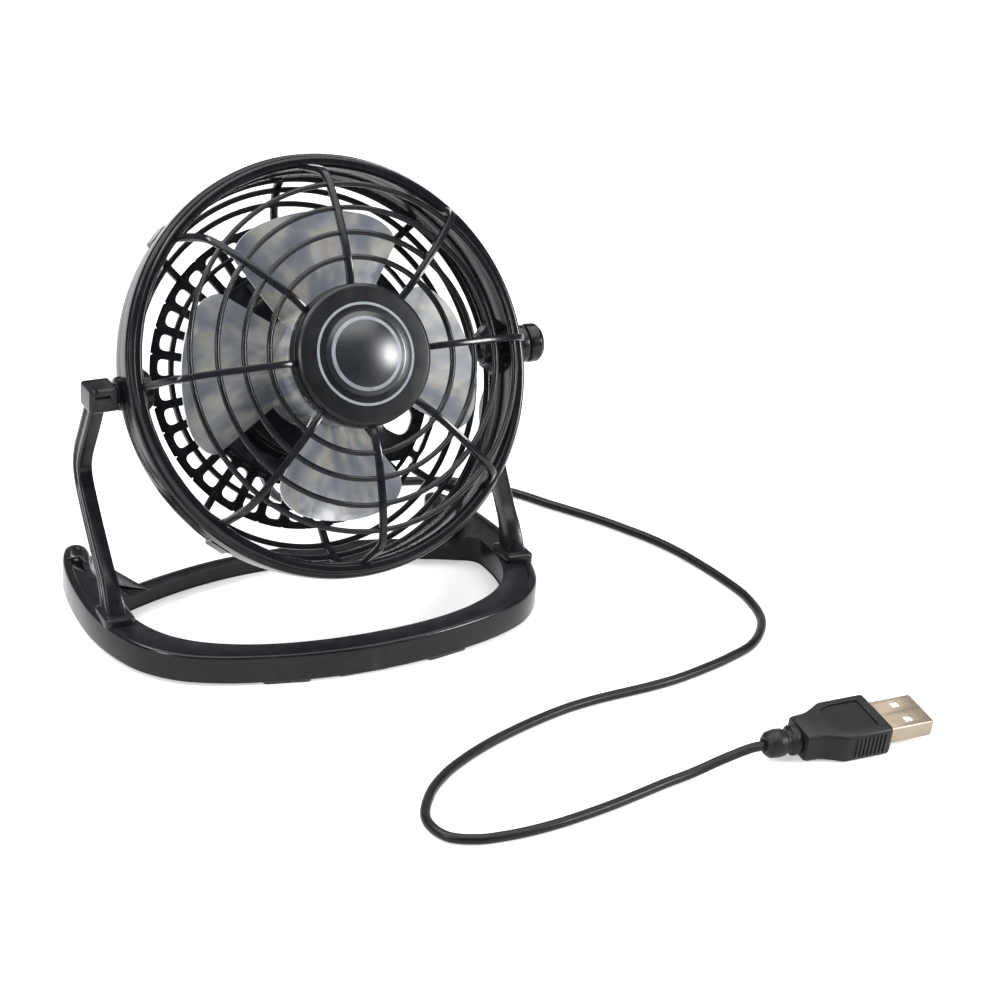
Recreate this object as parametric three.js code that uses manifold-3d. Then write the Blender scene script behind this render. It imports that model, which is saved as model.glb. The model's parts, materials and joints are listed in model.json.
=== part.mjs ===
// Small USB desk fan: a round cage head that tilts between the two arms of a
// flat ring stand, with a direct-drive four-blade impeller and a thin USB lead.
// Millimetres, +Z up, the fan faces -Y. The origin lies on the table under the
// middle of the stand and head.
import * as THREE from 'three';
import { mergeVertices } from 'three/addons/utils/BufferGeometryUtils.js';
import Module from 'manifold-3d';

const wasm = await Module();
wasm.setup();

// ---------- driving dimensions ----------
const ORIGIN_Y = 2.98;         // shift that centres the stand and head on the origin
const PIVOT_Z = 67.4;          // height of the tilt axis
const TILT = 28.3 * Math.PI / 180;   // head tilt back from straight ahead
const GAP = 0.3;               // clearance between touching pieces

const STAND_H = 8.6;           // top of the base ring
const STAND_Z0 = 0.9;          // underside of the base ring (on the feet)
const ARM_X = 57.3;            // middle of each arm, from the centre plane
const BLOCK_OUT = 63.2;        // outermost face of the arm tops

const RIM_R = 54.2;            // front rim, outer radius
const RIM_IN = 50.4;           // front rim, inner radius
const SHELL_R = 53.3;          // rear shell rim, outer radius
const HUB_R = 18.0;            // front hub disc
const RING_R = [24.4, 30.7, 37.1, 43.4];      // front rings
const RING_A = [29.4, 28.6, 27.3, 25.2];      // and how far forward each one is
const REAR_R = [50.1, 48.0, 44.8];            // rear wire rings
const REAR_A = [-6.2, -10.0, -13.2];
const PLATE_A = [-16.4, -14.8];               // flat back plate with the slots, rear and front face
const PLATE_R = 40.0;
const HOUSING_R = 22.5;        // motor housing on the rear shell
const BLADE_R = 39.4;          // impeller tip radius
const CORD_D = 2.5;            // lead diameter

const BLADE_AZ = [87.5, 177.5, 267.5, 357.5]; // where each blade points, seen from the front
const PLUG = { x: 103.2, y: -115.2, yaw: 0, roll: 7.0 * Math.PI / 180, axisZ: 4.95 };

// ---------- solids ----------
function clean(geo) {
  let g = geo.clone();
  g.deleteAttribute('normal'); g.deleteAttribute('uv');
  g = mergeVertices(g, 1e-4);
  // drop triangles that have collapsed
  const idx = g.index.array, out = [];
  for (let i = 0; i < idx.length; i += 3) {
    const a = idx[i], b = idx[i + 1], c = idx[i + 2];
    if (a !== b && b !== c && a !== c) out.push(a, b, c);
  }
  g.setIndex(out);
  // make the faces point out
  const p = g.attributes.position.array;
  let vol = 0;
  for (let i = 0; i < out.length; i += 3) {
    const [a, b, c] = [out[i] * 3, out[i + 1] * 3, out[i + 2] * 3];
    vol += p[a] * (p[b + 1] * p[c + 2] - p[b + 2] * p[c + 1])
         - p[a + 1] * (p[b] * p[c + 2] - p[b + 2] * p[c])
         + p[a + 2] * (p[b] * p[c + 1] - p[b + 1] * p[c]);
  }
  if (vol < 0) {
    for (let i = 0; i < out.length; i += 3) { const t = out[i + 1]; out[i + 1] = out[i + 2]; out[i + 2] = t; }
    g.setIndex(out);
  }
  return g;
}
function man(geo) {
  const g = clean(geo);
  const mesh = new wasm.Mesh({ numProp: 3, vertProperties: new Float32Array(g.attributes.position.array), triVerts: new Uint32Array(g.index.array) });
  return new wasm.Manifold(mesh);
}
function geoOf(m) {
  const mesh = m.getMesh();
  const n = mesh.vertProperties.length / mesh.numProp;
  const pos = new Float32Array(n * 3);
  for (let i = 0; i < n; i++) for (let k = 0; k < 3; k++) pos[i * 3 + k] = mesh.vertProperties[i * mesh.numProp + k];
  const g = new THREE.BufferGeometry();
  g.setAttribute('position', new THREE.BufferAttribute(pos, 3));
  g.setIndex(Array.from(mesh.triVerts));
  return g;
}
const union = list => list.slice(1).reduce((s, m) => s.add(m), list[0]);
const T = (geo, x, y, z) => geo.translate(x, y, z);

function box(x0, x1, y0, y1, z0, z1) {
  return new THREE.BoxGeometry(x1 - x0, y1 - y0, z1 - z0).translate((x0 + x1) / 2, (y0 + y1) / 2, (z0 + z1) / 2);
}
// profile of [radius, height] points turned about +Z
function lathe(profile, segs = 48, closed = false) {
  const pts = profile.map(([r, z]) => new THREE.Vector2(r, z));
  if (closed) pts.push(pts[0].clone());
  const g = new THREE.LatheGeometry(pts, segs);
  g.rotateX(Math.PI / 2);
  return g;
}
const cyl = (r, z0, z1, segs = 32) => lathe([[0, z0], [r, z0], [r, z1], [0, z1]], segs);
const tube = (r0, r1, z0, z1, segs = 32) => lathe([[r0, z0], [r1, z0], [r1, z1], [r0, z1]], segs, true);
// cylinder along X
const cylX = (r, x0, x1, segs = 24) => cyl(r, x0, x1, segs).rotateY(Math.PI / 2);
function shapeOf(pts) { return new THREE.Shape(pts.map(p => new THREE.Vector2(p[0], p[1]))); }
function extrudeZ(pts, z0, z1, bevel = 0, holes = []) {
  const s = shapeOf(pts);
  for (const h of holes) s.holes.push(new THREE.Path(h.map(p => new THREE.Vector2(p[0], p[1]))));
  const g = new THREE.ExtrudeGeometry(s, { depth: z1 - z0 - 2 * bevel, bevelEnabled: bevel > 0, bevelThickness: bevel, bevelSize: bevel, bevelOffset: -bevel, bevelSegments: 1, steps: 1 });
  return g.translate(0, 0, z0 + bevel);
}
// bar with a rectangular section swept through points, made as convex links
function sweepBar(points, widthDir, width, thick) {
  // points: Vector3 list; widthDir: Vector3 shared by all sections
  const n = points.length, rings = [];
  for (let i = 0; i < n; i++) {
    const t = new THREE.Vector3();
    if (i > 0) t.add(points[i].clone().sub(points[i - 1]).normalize());
    if (i < n - 1) t.add(points[i + 1].clone().sub(points[i]).normalize());
    t.normalize();
    const w = widthDir.clone().addScaledVector(t, -widthDir.dot(t)).normalize();
    const h = new THREE.Vector3().crossVectors(t, w).normalize();
    let k = 1;
    if (i > 0 && i < n - 1) {
      const d1 = points[i].clone().sub(points[i - 1]).normalize(), d2 = points[i + 1].clone().sub(points[i]).normalize();
      k = 1 / Math.max(0.75, Math.cos(d1.angleTo(d2) / 2));
    }
    const W = Array.isArray(width) ? width[i] : width, H = (Array.isArray(thick) ? thick[i] : thick) * k;
    rings.push([[-1, -1], [1, -1], [1, 1], [-1, 1]].map(([a, b]) => points[i].clone().addScaledVector(w, a * W / 2).addScaledVector(h, b * H / 2)));
  }
  const pos = [], idx = [];
  rings.forEach(r => r.forEach(v => pos.push(v.x, v.y, v.z)));
  for (let i = 0; i < n - 1; i++) for (let k = 0; k < 4; k++) {
    const a = i * 4 + k, b = i * 4 + (k + 1) % 4, c = a + 4, d = b + 4;
    idx.push(a, b, d, a, d, c);
  }
  idx.push(0, 2, 1, 0, 3, 2);
  const e = (n - 1) * 4; idx.push(e, e + 1, e + 2, e, e + 2, e + 3);
  const g = new THREE.BufferGeometry();
  g.setAttribute('position', new THREE.Float32BufferAttribute(pos, 3));
  g.setIndex(idx);
  return g;
}
const V = (x, y, z) => new THREE.Vector3(x, y, z);

// ---------- scene graph ----------
const fan = new THREE.Group();
fan.position.y = ORIGIN_Y;
const head = new THREE.Group();
head.position.set(0, 0, PIVOT_Z);
head.rotation.x = Math.PI / 2 - TILT;   // local +Z is the fan axis, local +Y is up in the disc plane
fan.add(head);

const mats = {
  stand: { color: 0x17181b, roughness: 0.42, metalness: 0 },
  guard: { color: 0x141518, roughness: 0.38, metalness: 0 },
  hub: { color: 0x121317, roughness: 0.45, metalness: 0 },
  badge: { color: 0x15171d, roughness: 0.12, metalness: 0 },
  blade: { color: 0x6d7076, roughness: 0.2, metalness: 0 },
  rubber: { color: 0x101011, roughness: 0.85, metalness: 0 },
  steel: { color: 0xa9abad, roughness: 0.35, metalness: 1 },
  brass: { color: 0xc49a4a, roughness: 0.3, metalness: 1 },
  copper: { color: 0xb5643a, roughness: 0.35, metalness: 1 },
  magnet: { color: 0x3a3a3d, roughness: 0.6, metalness: 0.2 },
  cover: { color: 0x191a1c, roughness: 0.5, metalness: 0 },
  cord: { color: 0x1b1b1c, roughness: 0.55, metalness: 0 },
  nickel: { color: 0xbcb4a4, roughness: 0.3, metalness: 1 },
  white: { color: 0xe9e9e6, roughness: 0.5, metalness: 0 },
  gold: { color: 0xd8b25a, roughness: 0.25, metalness: 1 },
};
function add(parent, name, geo, mat) {
  const m = new THREE.Mesh(clean(geo), new THREE.MeshStandardMaterial(mats[mat]));
  m.name = name;
  parent.add(m);
  return m;
}

// ---------- base ring ----------
const half = [[0, -42.0], [9.2, -41.5], [18.4, -40.4], [28.2, -38.4], [38.9, -35.2], [48.6, -30.2], [55.8, -22.4], [59.8, -12.0], [61.4, -1.0], [61.3, 9.5], [60.2, 20.5], [58.2, 30.0], [56.0, 35.0], [53.4, 37.6], [50.9, 37.2], [49.4, 34.4], [50.2, 30.6], [51.6, 26.3], [52.8, 20.0], [52.6, 16.6]];
const halfIn = [[0, -35.6], [8.3, -35.3], [16.8, -34.4], [25.6, -32.6], [34.2, -29.6], [42.4, -24.9], [48.6, -18.2], [52.2, -9.6], [53.4, 0.0], [52.4, 6.8]];
const railF = [[48.0, 9.4], [40, 12.9], [30, 16.4], [20, 18.8], [10, 20.2], [0, 20.6]];   // front edge of the rear rail
const railB = [[0, 24.4], [10, 24.0], [20, 22.8], [30, 20.5], [39, 17.8], [46, 15.4], [50.4, 15.0]];  // rear edge, flaring into the ears
const mirror = l => l.map(([x, y]) => [-x, y]).reverse();
// outer runs left ear -> front -> right ear -> rear rail back to the left
function ringPts() {
  const o = [];
  for (const p of mirror(half)) o.push(p);             // left ear tip .. front centre
  for (const p of half.slice(1)) o.push(p);            // front centre .. right ear tip
  for (const p of [...railB].reverse()) o.push(p);     // right .. rear centre
  for (const p of railB.slice(1).map(([x, y]) => [-x, y])) o.push(p);
  const i = [];
  for (const p of mirror(halfIn)) i.push(p);
  for (const p of halfIn.slice(1)) i.push(p);
  for (const p of railF) i.push(p);
  for (const p of railF.slice(0, -1).map(([x, y]) => [-x, y]).reverse()) i.push(p);
  return [o, i];
}
{
  const [o, i] = ringPts();
  let ring = man(extrudeZ(o, STAND_Z0, STAND_H, 0, [i]));
  // the rear rail is lower than the sides
  ring = ring.subtract(man(extrudeZ([[-45, 8], [45, 8], [45, 30], [-45, 30]], 5.4, STAND_H + 2)));
  // low moulded pad under the middle of the front bar
  ring = ring.add(man(extrudeZ([[-9, -40.6], [5, -40.6], [5, -37.4], [-9, -37.4]], 0.2, STAND_Z0 + 0.5)));
  // sockets for the arms
  for (const s of [-1, 1]) ring = ring.subtract(man(box(s * 56.6 - 3.6, s * 56.6 + 3.6, -10.4, -1.6, 4.6, STAND_H + 2)));
  // recess line along the inner edge of the front bar
  add(fan, 'stand_base', geoOf(ring), 'stand');
}
// rubber feet under the ring
const FEET = { foot_front_left: [-22, -36.9], foot_front_right: [22, -36.9], foot_rear_left: [-55.2, 27], foot_rear_right: [55.2, 27] };
for (const [n, [x, y]] of Object.entries(FEET)) {
  const rear = n.includes('rear');
  const w = rear ? 3.4 : 6.5, h = rear ? 5.5 : 2.3;
  add(fan, n, extrudeZ([[x - w, y - h], [x + w, y - h], [x + w, y + h], [x - w, y + h]].map(p => p), 0, STAND_Z0 - GAP, 0), 'rubber');
}

// ---------- arms ----------
// centre line of an arm in the side view (y, z), and its distance from the centre plane
const ARM = [[-6.0, 5.0], [-5.6, 9.6], [-3.2, 14.8], [1.4, 20.6], [6.4, 26.6], [11.2, 32.8], [14.4, 37.8], [15.6, 41.8], [14.3, 46.4], [10.8, 52.4], [6.6, 59.0], [3.0, 65.2]];
const ARM_XS = [56.6, 56.7, 56.9, 57.1, 57.3, 57.5, 57.7, 57.8, 58.0, 58.2, 58.5, 58.7];
function arm(s) {
  const pts = ARM.map(([y, z], i) => V(s * ARM_XS[i], y, z));
  return man(sweepBar(pts, V(1, 0, 0), ARM.map((_, i) => i < 2 ? 6.0 : i < 3 ? 4.8 : 3.8), ARM.map((_, i) => i < 2 ? 7.4 : i < 3 ? 6.0 : 5.0)));
}
{ // left arm: square pivot block with a sight slot
  let m = arm(-1);
  m = m.add(man(box(-BLOCK_OUT, -55.2, -3.7, 3.9, PIVOT_Z - 3.2, PIVOT_Z + 3.3)));
  m = m.subtract(man(T(cylX(2.75, -61.4, -50, 20), 0, 0, PIVOT_Z)));
  m = m.subtract(man(box(-61.4, -57.4, -6, -3.0, PIVOT_Z + 0.7, PIVOT_Z + 1.6)));
  add(fan, 'left_arm', geoOf(m), 'stand');
}
{ // right arm: round eye for the tilt knob
  let m = arm(1);
  m = m.add(man(T(cylX(5.1, 55.2, 58.4, 28), 0, 0, PIVOT_Z)));
  m = m.subtract(man(box(58.7, 70, -7, 30, PIVOT_Z - 6.5, PIVOT_Z + 10)));
  m = m.subtract(man(T(cylX(2.75, 50, 70, 20), 0, 0, PIVOT_Z)));
  add(fan, 'right_arm', geoOf(m), 'stand');
}

// ---------- head: rear shell ----------
{
  let m = man(lathe([[49.9, 3.0], [49.9, -4.6], [51.4, -4.6], [53.3, -2.6], [53.3, 3.0]], 40, true));
  REAR_R.forEach((r, k) => {
    const a = REAR_A[k];
    m = m.add(man(lathe([[r, a - 0.9], [r + 0.9, a], [r, a + 0.9], [r - 0.9, a]], [36, 36, 32][k], true)));
  });
  // eight struts from the rim down to the back plate, in line with the front spokes
  for (let i = 0; i < 8; i++) {
    const th = i * Math.PI / 4, c = Math.cos(th), s = Math.sin(th);
    m = m.add(man(sweepBar([[50.7, -3.2], [50.1, -6.4], [48.0, -10.2], [44.8, -13.4], [39.6, -15.6]].map(([r, a]) => V(r * c, r * s, a)), V(-s, c, 0), 2.0, 1.7)));
  }
  { // back plate: a row of radial slots on one half, arc and oval openings on the other
    const pol = (r, d) => [r * Math.cos(d * Math.PI / 180), r * Math.sin(d * Math.PI / 180)];
    const circle = (r, n) => Array.from({ length: n }, (_, i) => pol(r, 360 * i / n));
    const holes = [circle(HOUSING_R - 0.6, 32)];
    for (let d = 100; d <= 260; d += 10) holes.push([pol(29.6, d - 2.3), pol(28.8, d), pol(29.6, d + 2.3), pol(37.6, d + 3.1), pol(38.2, d), pol(37.6, d - 3.1)]);
    for (let k = 0; k < 4; k++) {
      const d0 = -90 + 45 * k + 1.6, d1 = -45 + 45 * k - 1.6, n = 5, h = [];
      for (let i = 0; i <= n; i++) h.push(pol(39.4, d0 + (d1 - d0) * i / n));
      for (let i = n; i >= 0; i--) h.push(pol(36.9, d0 + (d1 - d0) * i / n));
      holes.push(h);
    }
    for (let k = 0; k < 5; k++) {
      const d = -76 + 38 * k;
      holes.push([pol(26.4, d - 4), pol(25.4, d), pol(26.4, d + 4), pol(30, d + 6.5), pol(33.2, d + 4), pol(34.0, d), pol(33.2, d - 4), pol(30, d - 6.5)]);
    }
    m = m.add(man(extrudeZ(circle(PLATE_R, 48), PLATE_A[0], PLATE_A[1], 0, holes)));
    // a hoop runs across the slots, from the first to the last
    const hoop = [];
    for (let d = 96; d <= 264; d += 7) hoop.push(pol(35.3, d));
    for (let d = 264; d >= 96; d -= 7) hoop.push(pol(34.0, d));
    m = m.add(man(extrudeZ(hoop, PLATE_A[0] + 0.1, PLATE_A[1] + 0.4)));
  }
  // motor housing: a cup open at the back, with a round hole for the motor boss
  m = m.add(man(lathe([[4.2, -7.9], [4.2, -6.3], [HOUSING_R - 1.2, -6.3], [HOUSING_R, -7.5], [HOUSING_R, -26.0], [HOUSING_R - 1.6, -26.0], [HOUSING_R - 1.6, -7.9]], 32, true)));
  // screw posts inside the housing
  for (const s of [-1, 1]) m = m.add(man(T(tube(1.1, 2.6, -25.6, -7.0, 10), s * 17.4, 0, 0)));
  // pivot bosses
  for (const s of [-1, 1]) m = m.add(man(cylX(4.3, s > 0 ? 45.8 : -54.7, s > 0 ? 54.7 : -45.8, 16)));
  for (const s of [-1, 1]) {
    m = m.subtract(man(cylX(2.7, s > 0 ? 44 : -58, s > 0 ? 58 : -44, 12)));
    m = m.subtract(man(box(s > 0 ? 49.4 : -60, s > 0 ? 60 : -49.4, -8, 8, 3.0, 8)));   // room for the front rim
  }
  add(head, 'rear_shell', geoOf(m), 'guard');
}
// ---------- head: front grille ----------
{
  let m = man(lathe([[RIM_IN, 3.3], [RIM_IN, 10.2], [52.4, 11.3], [RIM_R, 8.6], [RIM_R, 4.4], [53.4, 3.3]], 48, true));
  RING_R.forEach((r, k) => { const a = RING_A[k]; m = m.add(man(lathe([[r, a - 0.9], [r + 0.9, a], [r, a + 0.9], [r - 0.9, a]], [24, 28, 32, 36][k], true))); });
  m = m.add(man(lathe([[2.4, 25.7], [2.4, 28.9], [HUB_R, 28.9], [HUB_R, 25.7]], 32, true)));
  const sp = [[HUB_R - 1.5, 28.0], [24.4, 29.0], [30.7, 28.2], [37.1, 26.9], [43.4, 24.8], [46.6, 22.6], [48.4, 18.6], [51.6, 9.0]];
  for (let i = 0; i < 8; i++) {
    const th = i * Math.PI / 4, c = Math.cos(th), s = Math.sin(th);
    m = m.add(man(sweepBar(sp.map(([r, a]) => V(r * c, r * s, a)), V(-s, c, 0), 2.1, 2.0)));
  }
  add(head, 'front_grille', geoOf(m), 'guard');
}
add(head, 'hub_badge', lathe([[0, 27.0], [2.0, 27.0], [2.0, 29.2], [17.7, 29.2], [17.7, 31.0], [17.0, 31.6], [8.6, 31.8], [5.0, 33.2], [0, 33.8]], 32), 'badge');

// ---------- head: motor ----------
const MOTOR_R = 12.0;
add(head, 'motor_can', lathe([[1.9, -9.0], [1.9, -6.6], [3.4, -6.6], [3.4, -8.2], [MOTOR_R, -8.2], [MOTOR_R, -20.6], [11.4, -20.6], [11.4, -9.0]], 28, true), 'steel');
{
  let m = man(lathe([[1.7, -20.9], [11.9, -20.9], [11.9, -22.3], [3.6, -22.3], [3.6, -23.6], [1.7, -23.6]], 24, true));
  add(head, 'motor_end_cap', geoOf(m), 'white');
}
add(head, 'bushing_front', tube(1.3, 1.6, -8.8, -6.7, 14), 'brass');
add(head, 'bushing_rear', tube(1.15, 1.4, -23.4, -21.2, 14), 'brass');
for (const [n, a0] of [['magnet_upper', 25], ['magnet_lower', 205]]) {
  const pts = [], N = 8;
  for (let i = 0; i <= N; i++) { const t = (a0 + i * 130 / N) * Math.PI / 180; pts.push([11.0 * Math.cos(t), 11.0 * Math.sin(t)]); }
  for (let i = N; i >= 0; i--) { const t = (a0 + i * 130 / N) * Math.PI / 180; pts.push([8.6 * Math.cos(t), 8.6 * Math.sin(t)]); }
  add(head, n, extrudeZ(pts, -18.6, -10.2), 'magnet');
}
for (const [n, s] of [['brush_left', -1], ['brush_right', 1]]) {
  add(head, n, s > 0 ? box(3.1, 9.0, -0.5, 0.5, -20.4, -19.2) : box(-9.0, -3.1, -0.5, 0.5, -20.4, -19.2), 'copper');
}
// ---------- rotor ----------
add(head, 'motor_shaft', cyl(1.0, -22.9, 13.0, 18), 'steel');
{
  let m = man(cyl(8.1, -17.4, -11.2, 24));
  m = m.subtract(man(cyl(1.3, -30, 0, 18)));
  for (let i = 0; i < 3; i++) {
    const th = i * 2 * Math.PI / 3 + Math.PI / 2, c = Math.cos(th), s = Math.sin(th);
    m = m.subtract(man(sweepBar([V(5.2 * c, 5.2 * s, -14.3), V(9.5 * c, 9.5 * s, -14.3)], V(-s, c, 0), 1.6, 10)));
    m = m.subtract(man(T(cyl(1.5, -20, -8, 8), 5.2 * c, 5.2 * s, 0)));
  }
  add(head, 'armature_core', geoOf(m), 'steel');
}
add(head, 'commutator', tube(1.3, 2.8, -20.6, -17.8, 18), 'copper');
{ // impeller: hub cup and four broad translucent blades in one moulding
  let m = man(lathe([[1.3, 0.6], [3.6, 0.6], [3.6, 14.0], [14.4, 14.0], [14.4, -2.0], [15.8, -2.0], [15.8, 14.2], [14.2, 15.6], [1.3, 15.6]], 28, true));
  const NB = 4, NR = 5, NT = 4;
  for (let b = 0; b < NB; b++) {
    const base = (BLADE_AZ[b]) * Math.PI / 180;
    m = m.add(man(blade(base, NR, NT)));
  }
  add(head, 'impeller', geoOf(m), 'blade');
}
function blade(base, NR, NT) {
  const top = [], bot = [];
  for (let i = 0; i <= NR; i++) {
    const u = i / NR, r = 15.0 + (BLADE_R - 15.0) * u;
    const span = (66 + 1.5 * u) * Math.PI / 180;
    const rEnd = t => r - (u > 0.82 ? (u - 0.82) / 0.18 * 5.0 * Math.pow(Math.abs(2 * t - 1), 3) : 0);
    const rise = 14.0;
    for (let j = 0; j <= NT; j++) {
      const t = j / NT, th = base + (t - 0.5) * span, rr = rEnd(t);
      const a = 6.0 - rise * (t - 0.5);   // the clockwise edge leads, towards the front
      top.push([rr * Math.cos(th), rr * Math.sin(th), a + 0.55]);
      bot.push([rr * Math.cos(th), rr * Math.sin(th), a - 0.55]);
    }
  }
  const pos = [...top, ...bot].flat(), idx = [], W = NT + 1, O = top.length;
  for (let i = 0; i < NR; i++) for (let j = 0; j < NT; j++) {
    const a = i * W + j, b2 = a + 1, c = a + W, d = c + 1;
    idx.push(a, c, d, a, d, b2, O + a, O + d, O + c, O + a, O + b2, O + d);
  }
  const edge = [];
  for (let j = 0; j < NT; j++) edge.push([j, j + 1]);
  for (let i = 0; i < NR; i++) edge.push([i * W + NT, (i + 1) * W + NT]);
  for (let j = NT; j > 0; j--) edge.push([NR * W + j, NR * W + j - 1]);
  for (let i = NR; i > 0; i--) edge.push([i * W, (i - 1) * W]);
  for (const [p, q] of edge) idx.push(p, q, O + q, p, O + q, O + p);
  const g = new THREE.BufferGeometry();
  g.setAttribute('position', new THREE.Float32BufferAttribute(pos, 3));
  g.setIndex(idx);
  return g;
}

// ---------- head: back cover, switch, lead gland ----------
const COVER_A = -26.3;
{
  let m = man(lathe([[0, COVER_A], [HOUSING_R - 0.1, COVER_A], [HOUSING_R - 0.1, -27.4], [HOUSING_R - 1.4, -28.6], [0, -28.6]], 32));
  m = m.subtract(man(box(-6.6, 6.6, 4.4, 13.2, -32, -20)));       // rocker switch opening
  m = m.subtract(man(T(cyl(2.7, -32, -20, 14), 0, -9.0, 0)));     // lead gland hole
  for (const s of [-1, 1]) {
    m = m.subtract(man(T(cyl(1.3, -32, -20, 14), s * 17.4, 0, 0)));
    m = m.subtract(man(T(cyl(2.6, -32, -27.5, 16), s * 17.4, 0, 0)));
  }
  add(head, 'rear_cover', geoOf(m), 'cover');
}
for (const [n, s] of [['cover_screw_left', -1], ['cover_screw_right', 1]]) {
  const g = lathe([[0, -28.2], [0.8, -28.2], [1.2, -28.5], [2.2, -28.4], [2.2, -27.8], [0.85, -27.8], [0.85, -18.0], [0, -17.4]], 14);
  g.translate(s * 17.4, 0, 0);
  add(head, n, g, 'steel');
}
{ // rocker switch body with a well, and its rocker
  let m = man(box(-6.2, 6.2, 4.8, 12.8, -29.6, -24.2));
  m = m.add(man(box(-7.4, 7.4, 3.7, 13.9, -29.8, -28.9)));
  m = m.subtract(man(box(-5.0, 5.0, 5.9, 11.7, -31, -25.4)));
  add(head, 'switch_body', geoOf(m), 'cover');
  // the rocker turns about a pin along local Y; resting switched off
  const pr = [[-4.6, -28.0], [-4.4, -30.9], [0, -29.9], [4.4, -29.0], [4.6, -26.8], [0, -26.2]];
  const g = new THREE.ExtrudeGeometry(shapeOf(pr), { depth: 5.2, bevelEnabled: false, steps: 1 });
  g.rotateX(Math.PI / 2); // shape x stays x, shape y -> z
  g.translate(0, 11.4, 0);
  add(head, 'switch_rocker', g, 'hub');
}
const GLAND_Y = -9.0, GLAND_TIP = -41.0;
{
  const g = lathe([[CORD_D / 2 + 0.35, -24.6], [2.4, -24.6], [2.4, -28.9], [3.4, -28.9], [3.4, -30.2], [2.9, -31.0], [2.1, GLAND_TIP], [CORD_D / 2 + 0.35, GLAND_TIP]], 14, true);
  g.translate(0, GLAND_Y, 0);
  add(head, 'cord_gland', g, 'rubber');
}

// ---------- pivot pieces (they turn with the head) ----------
add(head, 'left_pivot_pin', lathe([[0, -61.1], [2.0, -61.1], [2.4, -60.6], [2.4, -46.4], [0, -46.4]], 18).rotateY(Math.PI / 2), 'guard');
add(head, 'tilt_knob', lathe([[0, 46.4], [2.4, 46.4], [2.4, 58.75], [5.0, 58.75], [5.2, 59.4], [5.2, 61.8], [4.2, 62.9], [0, 63.2]], 20).rotateY(Math.PI / 2), 'hub');

// ---------- USB lead ----------
const CORD_PTS = cordRoute();
function cordRoute() {
  // leaves the gland along the fan axis, backwards, then drops to the table
  const c = Math.cos(TILT), s = Math.sin(TILT);
  const P = (x, y, a) => V(x, y * s - a * c, PIVOT_Z + y * c + a * s);
  const e = P(0, GLAND_Y, GLAND_TIP - GAP), e2 = P(0, GLAND_Y, GLAND_TIP - GAP - 5);
  const z = CORD_D / 2 + 0.1;
  const route = [e, e2, V(3.0, 45.6, 25.5), V(7.2, 50.6, 14.0), V(14.0, 55.4, 4.6), V(22.5, 58.8, z + 0.5), V(33, 61.0, z + 0.05), V(45, 61.6, z), V(57, 60.2, z), V(68, 56.4, z), V(77, 49.9, z),
    V(84.2, 40.6, z), V(88.1, 33.9, z), V(92.9, 26.5, z), V(97.6, 19.0, z), V(101.8, 11.0, z), V(105.7, 2.7, z), V(108.7, -6.5, z), V(110.8, -16.9, z), V(112.2, -27.2, z), V(112.6, -37.9, z), V(109.3, -51.2, z), V(100.2, -61.9, z),
    V(89.7, -66.9, z), V(80.2, -70.0, z), V(70.8, -72.4, z), V(62.2, -73.6, z), V(54.3, -74.2, z), V(46.2, -74.9, z), V(37.7, -76.3, z), V(29.0, -78.7, z), V(20.4, -81.7, z), V(11.8, -85.2, z), V(3.2, -89.6, z), V(-5.4, -95.2, z), V(-13.2, -102.9, z), V(-18.6, -113.0, z),
    V(-17.2, -120.8, z), V(-11.2, -124.4, z), V(-4.3, -125.4, z), V(2.9, -125.4, z), V(10.3, -124.7, z), V(17.9, -123.4, z), V(25.9, -121.7, z), V(34.0, -119.6, z), V(42.3, -117.6, z + 0.2), V(50.6, -116.3, z + 0.7), V(59.6, -115.5, z + 2.3)];
  const tail = plugPoint(-32.3 - GAP - 3.0), end = plugPoint(-32.3 - GAP);
  route.push(tail, end);
  return route;
}
function plugPoint(l) { return V(PLUG.x + l * Math.cos(PLUG.yaw), PLUG.y + l * Math.sin(PLUG.yaw), PLUG.axisZ); }
{
  const curve = new THREE.CatmullRomCurve3(CORD_PTS, false, 'centripetal');
  const sec = new THREE.Shape();
  for (let i = 0; i < 8; i++) { const t = (i + 0.5) * Math.PI / 4, r = CORD_D / 2 / Math.cos(Math.PI / 8) * 0.96; i ? sec.lineTo(r * Math.cos(t), r * Math.sin(t)) : sec.moveTo(r * Math.cos(t), r * Math.sin(t)); }
  const g = new THREE.ExtrudeGeometry(sec, { steps: 66, extrudePath: curve, bevelEnabled: false });
  add(fan, 'usb_cord', g, 'cord');
}
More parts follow.
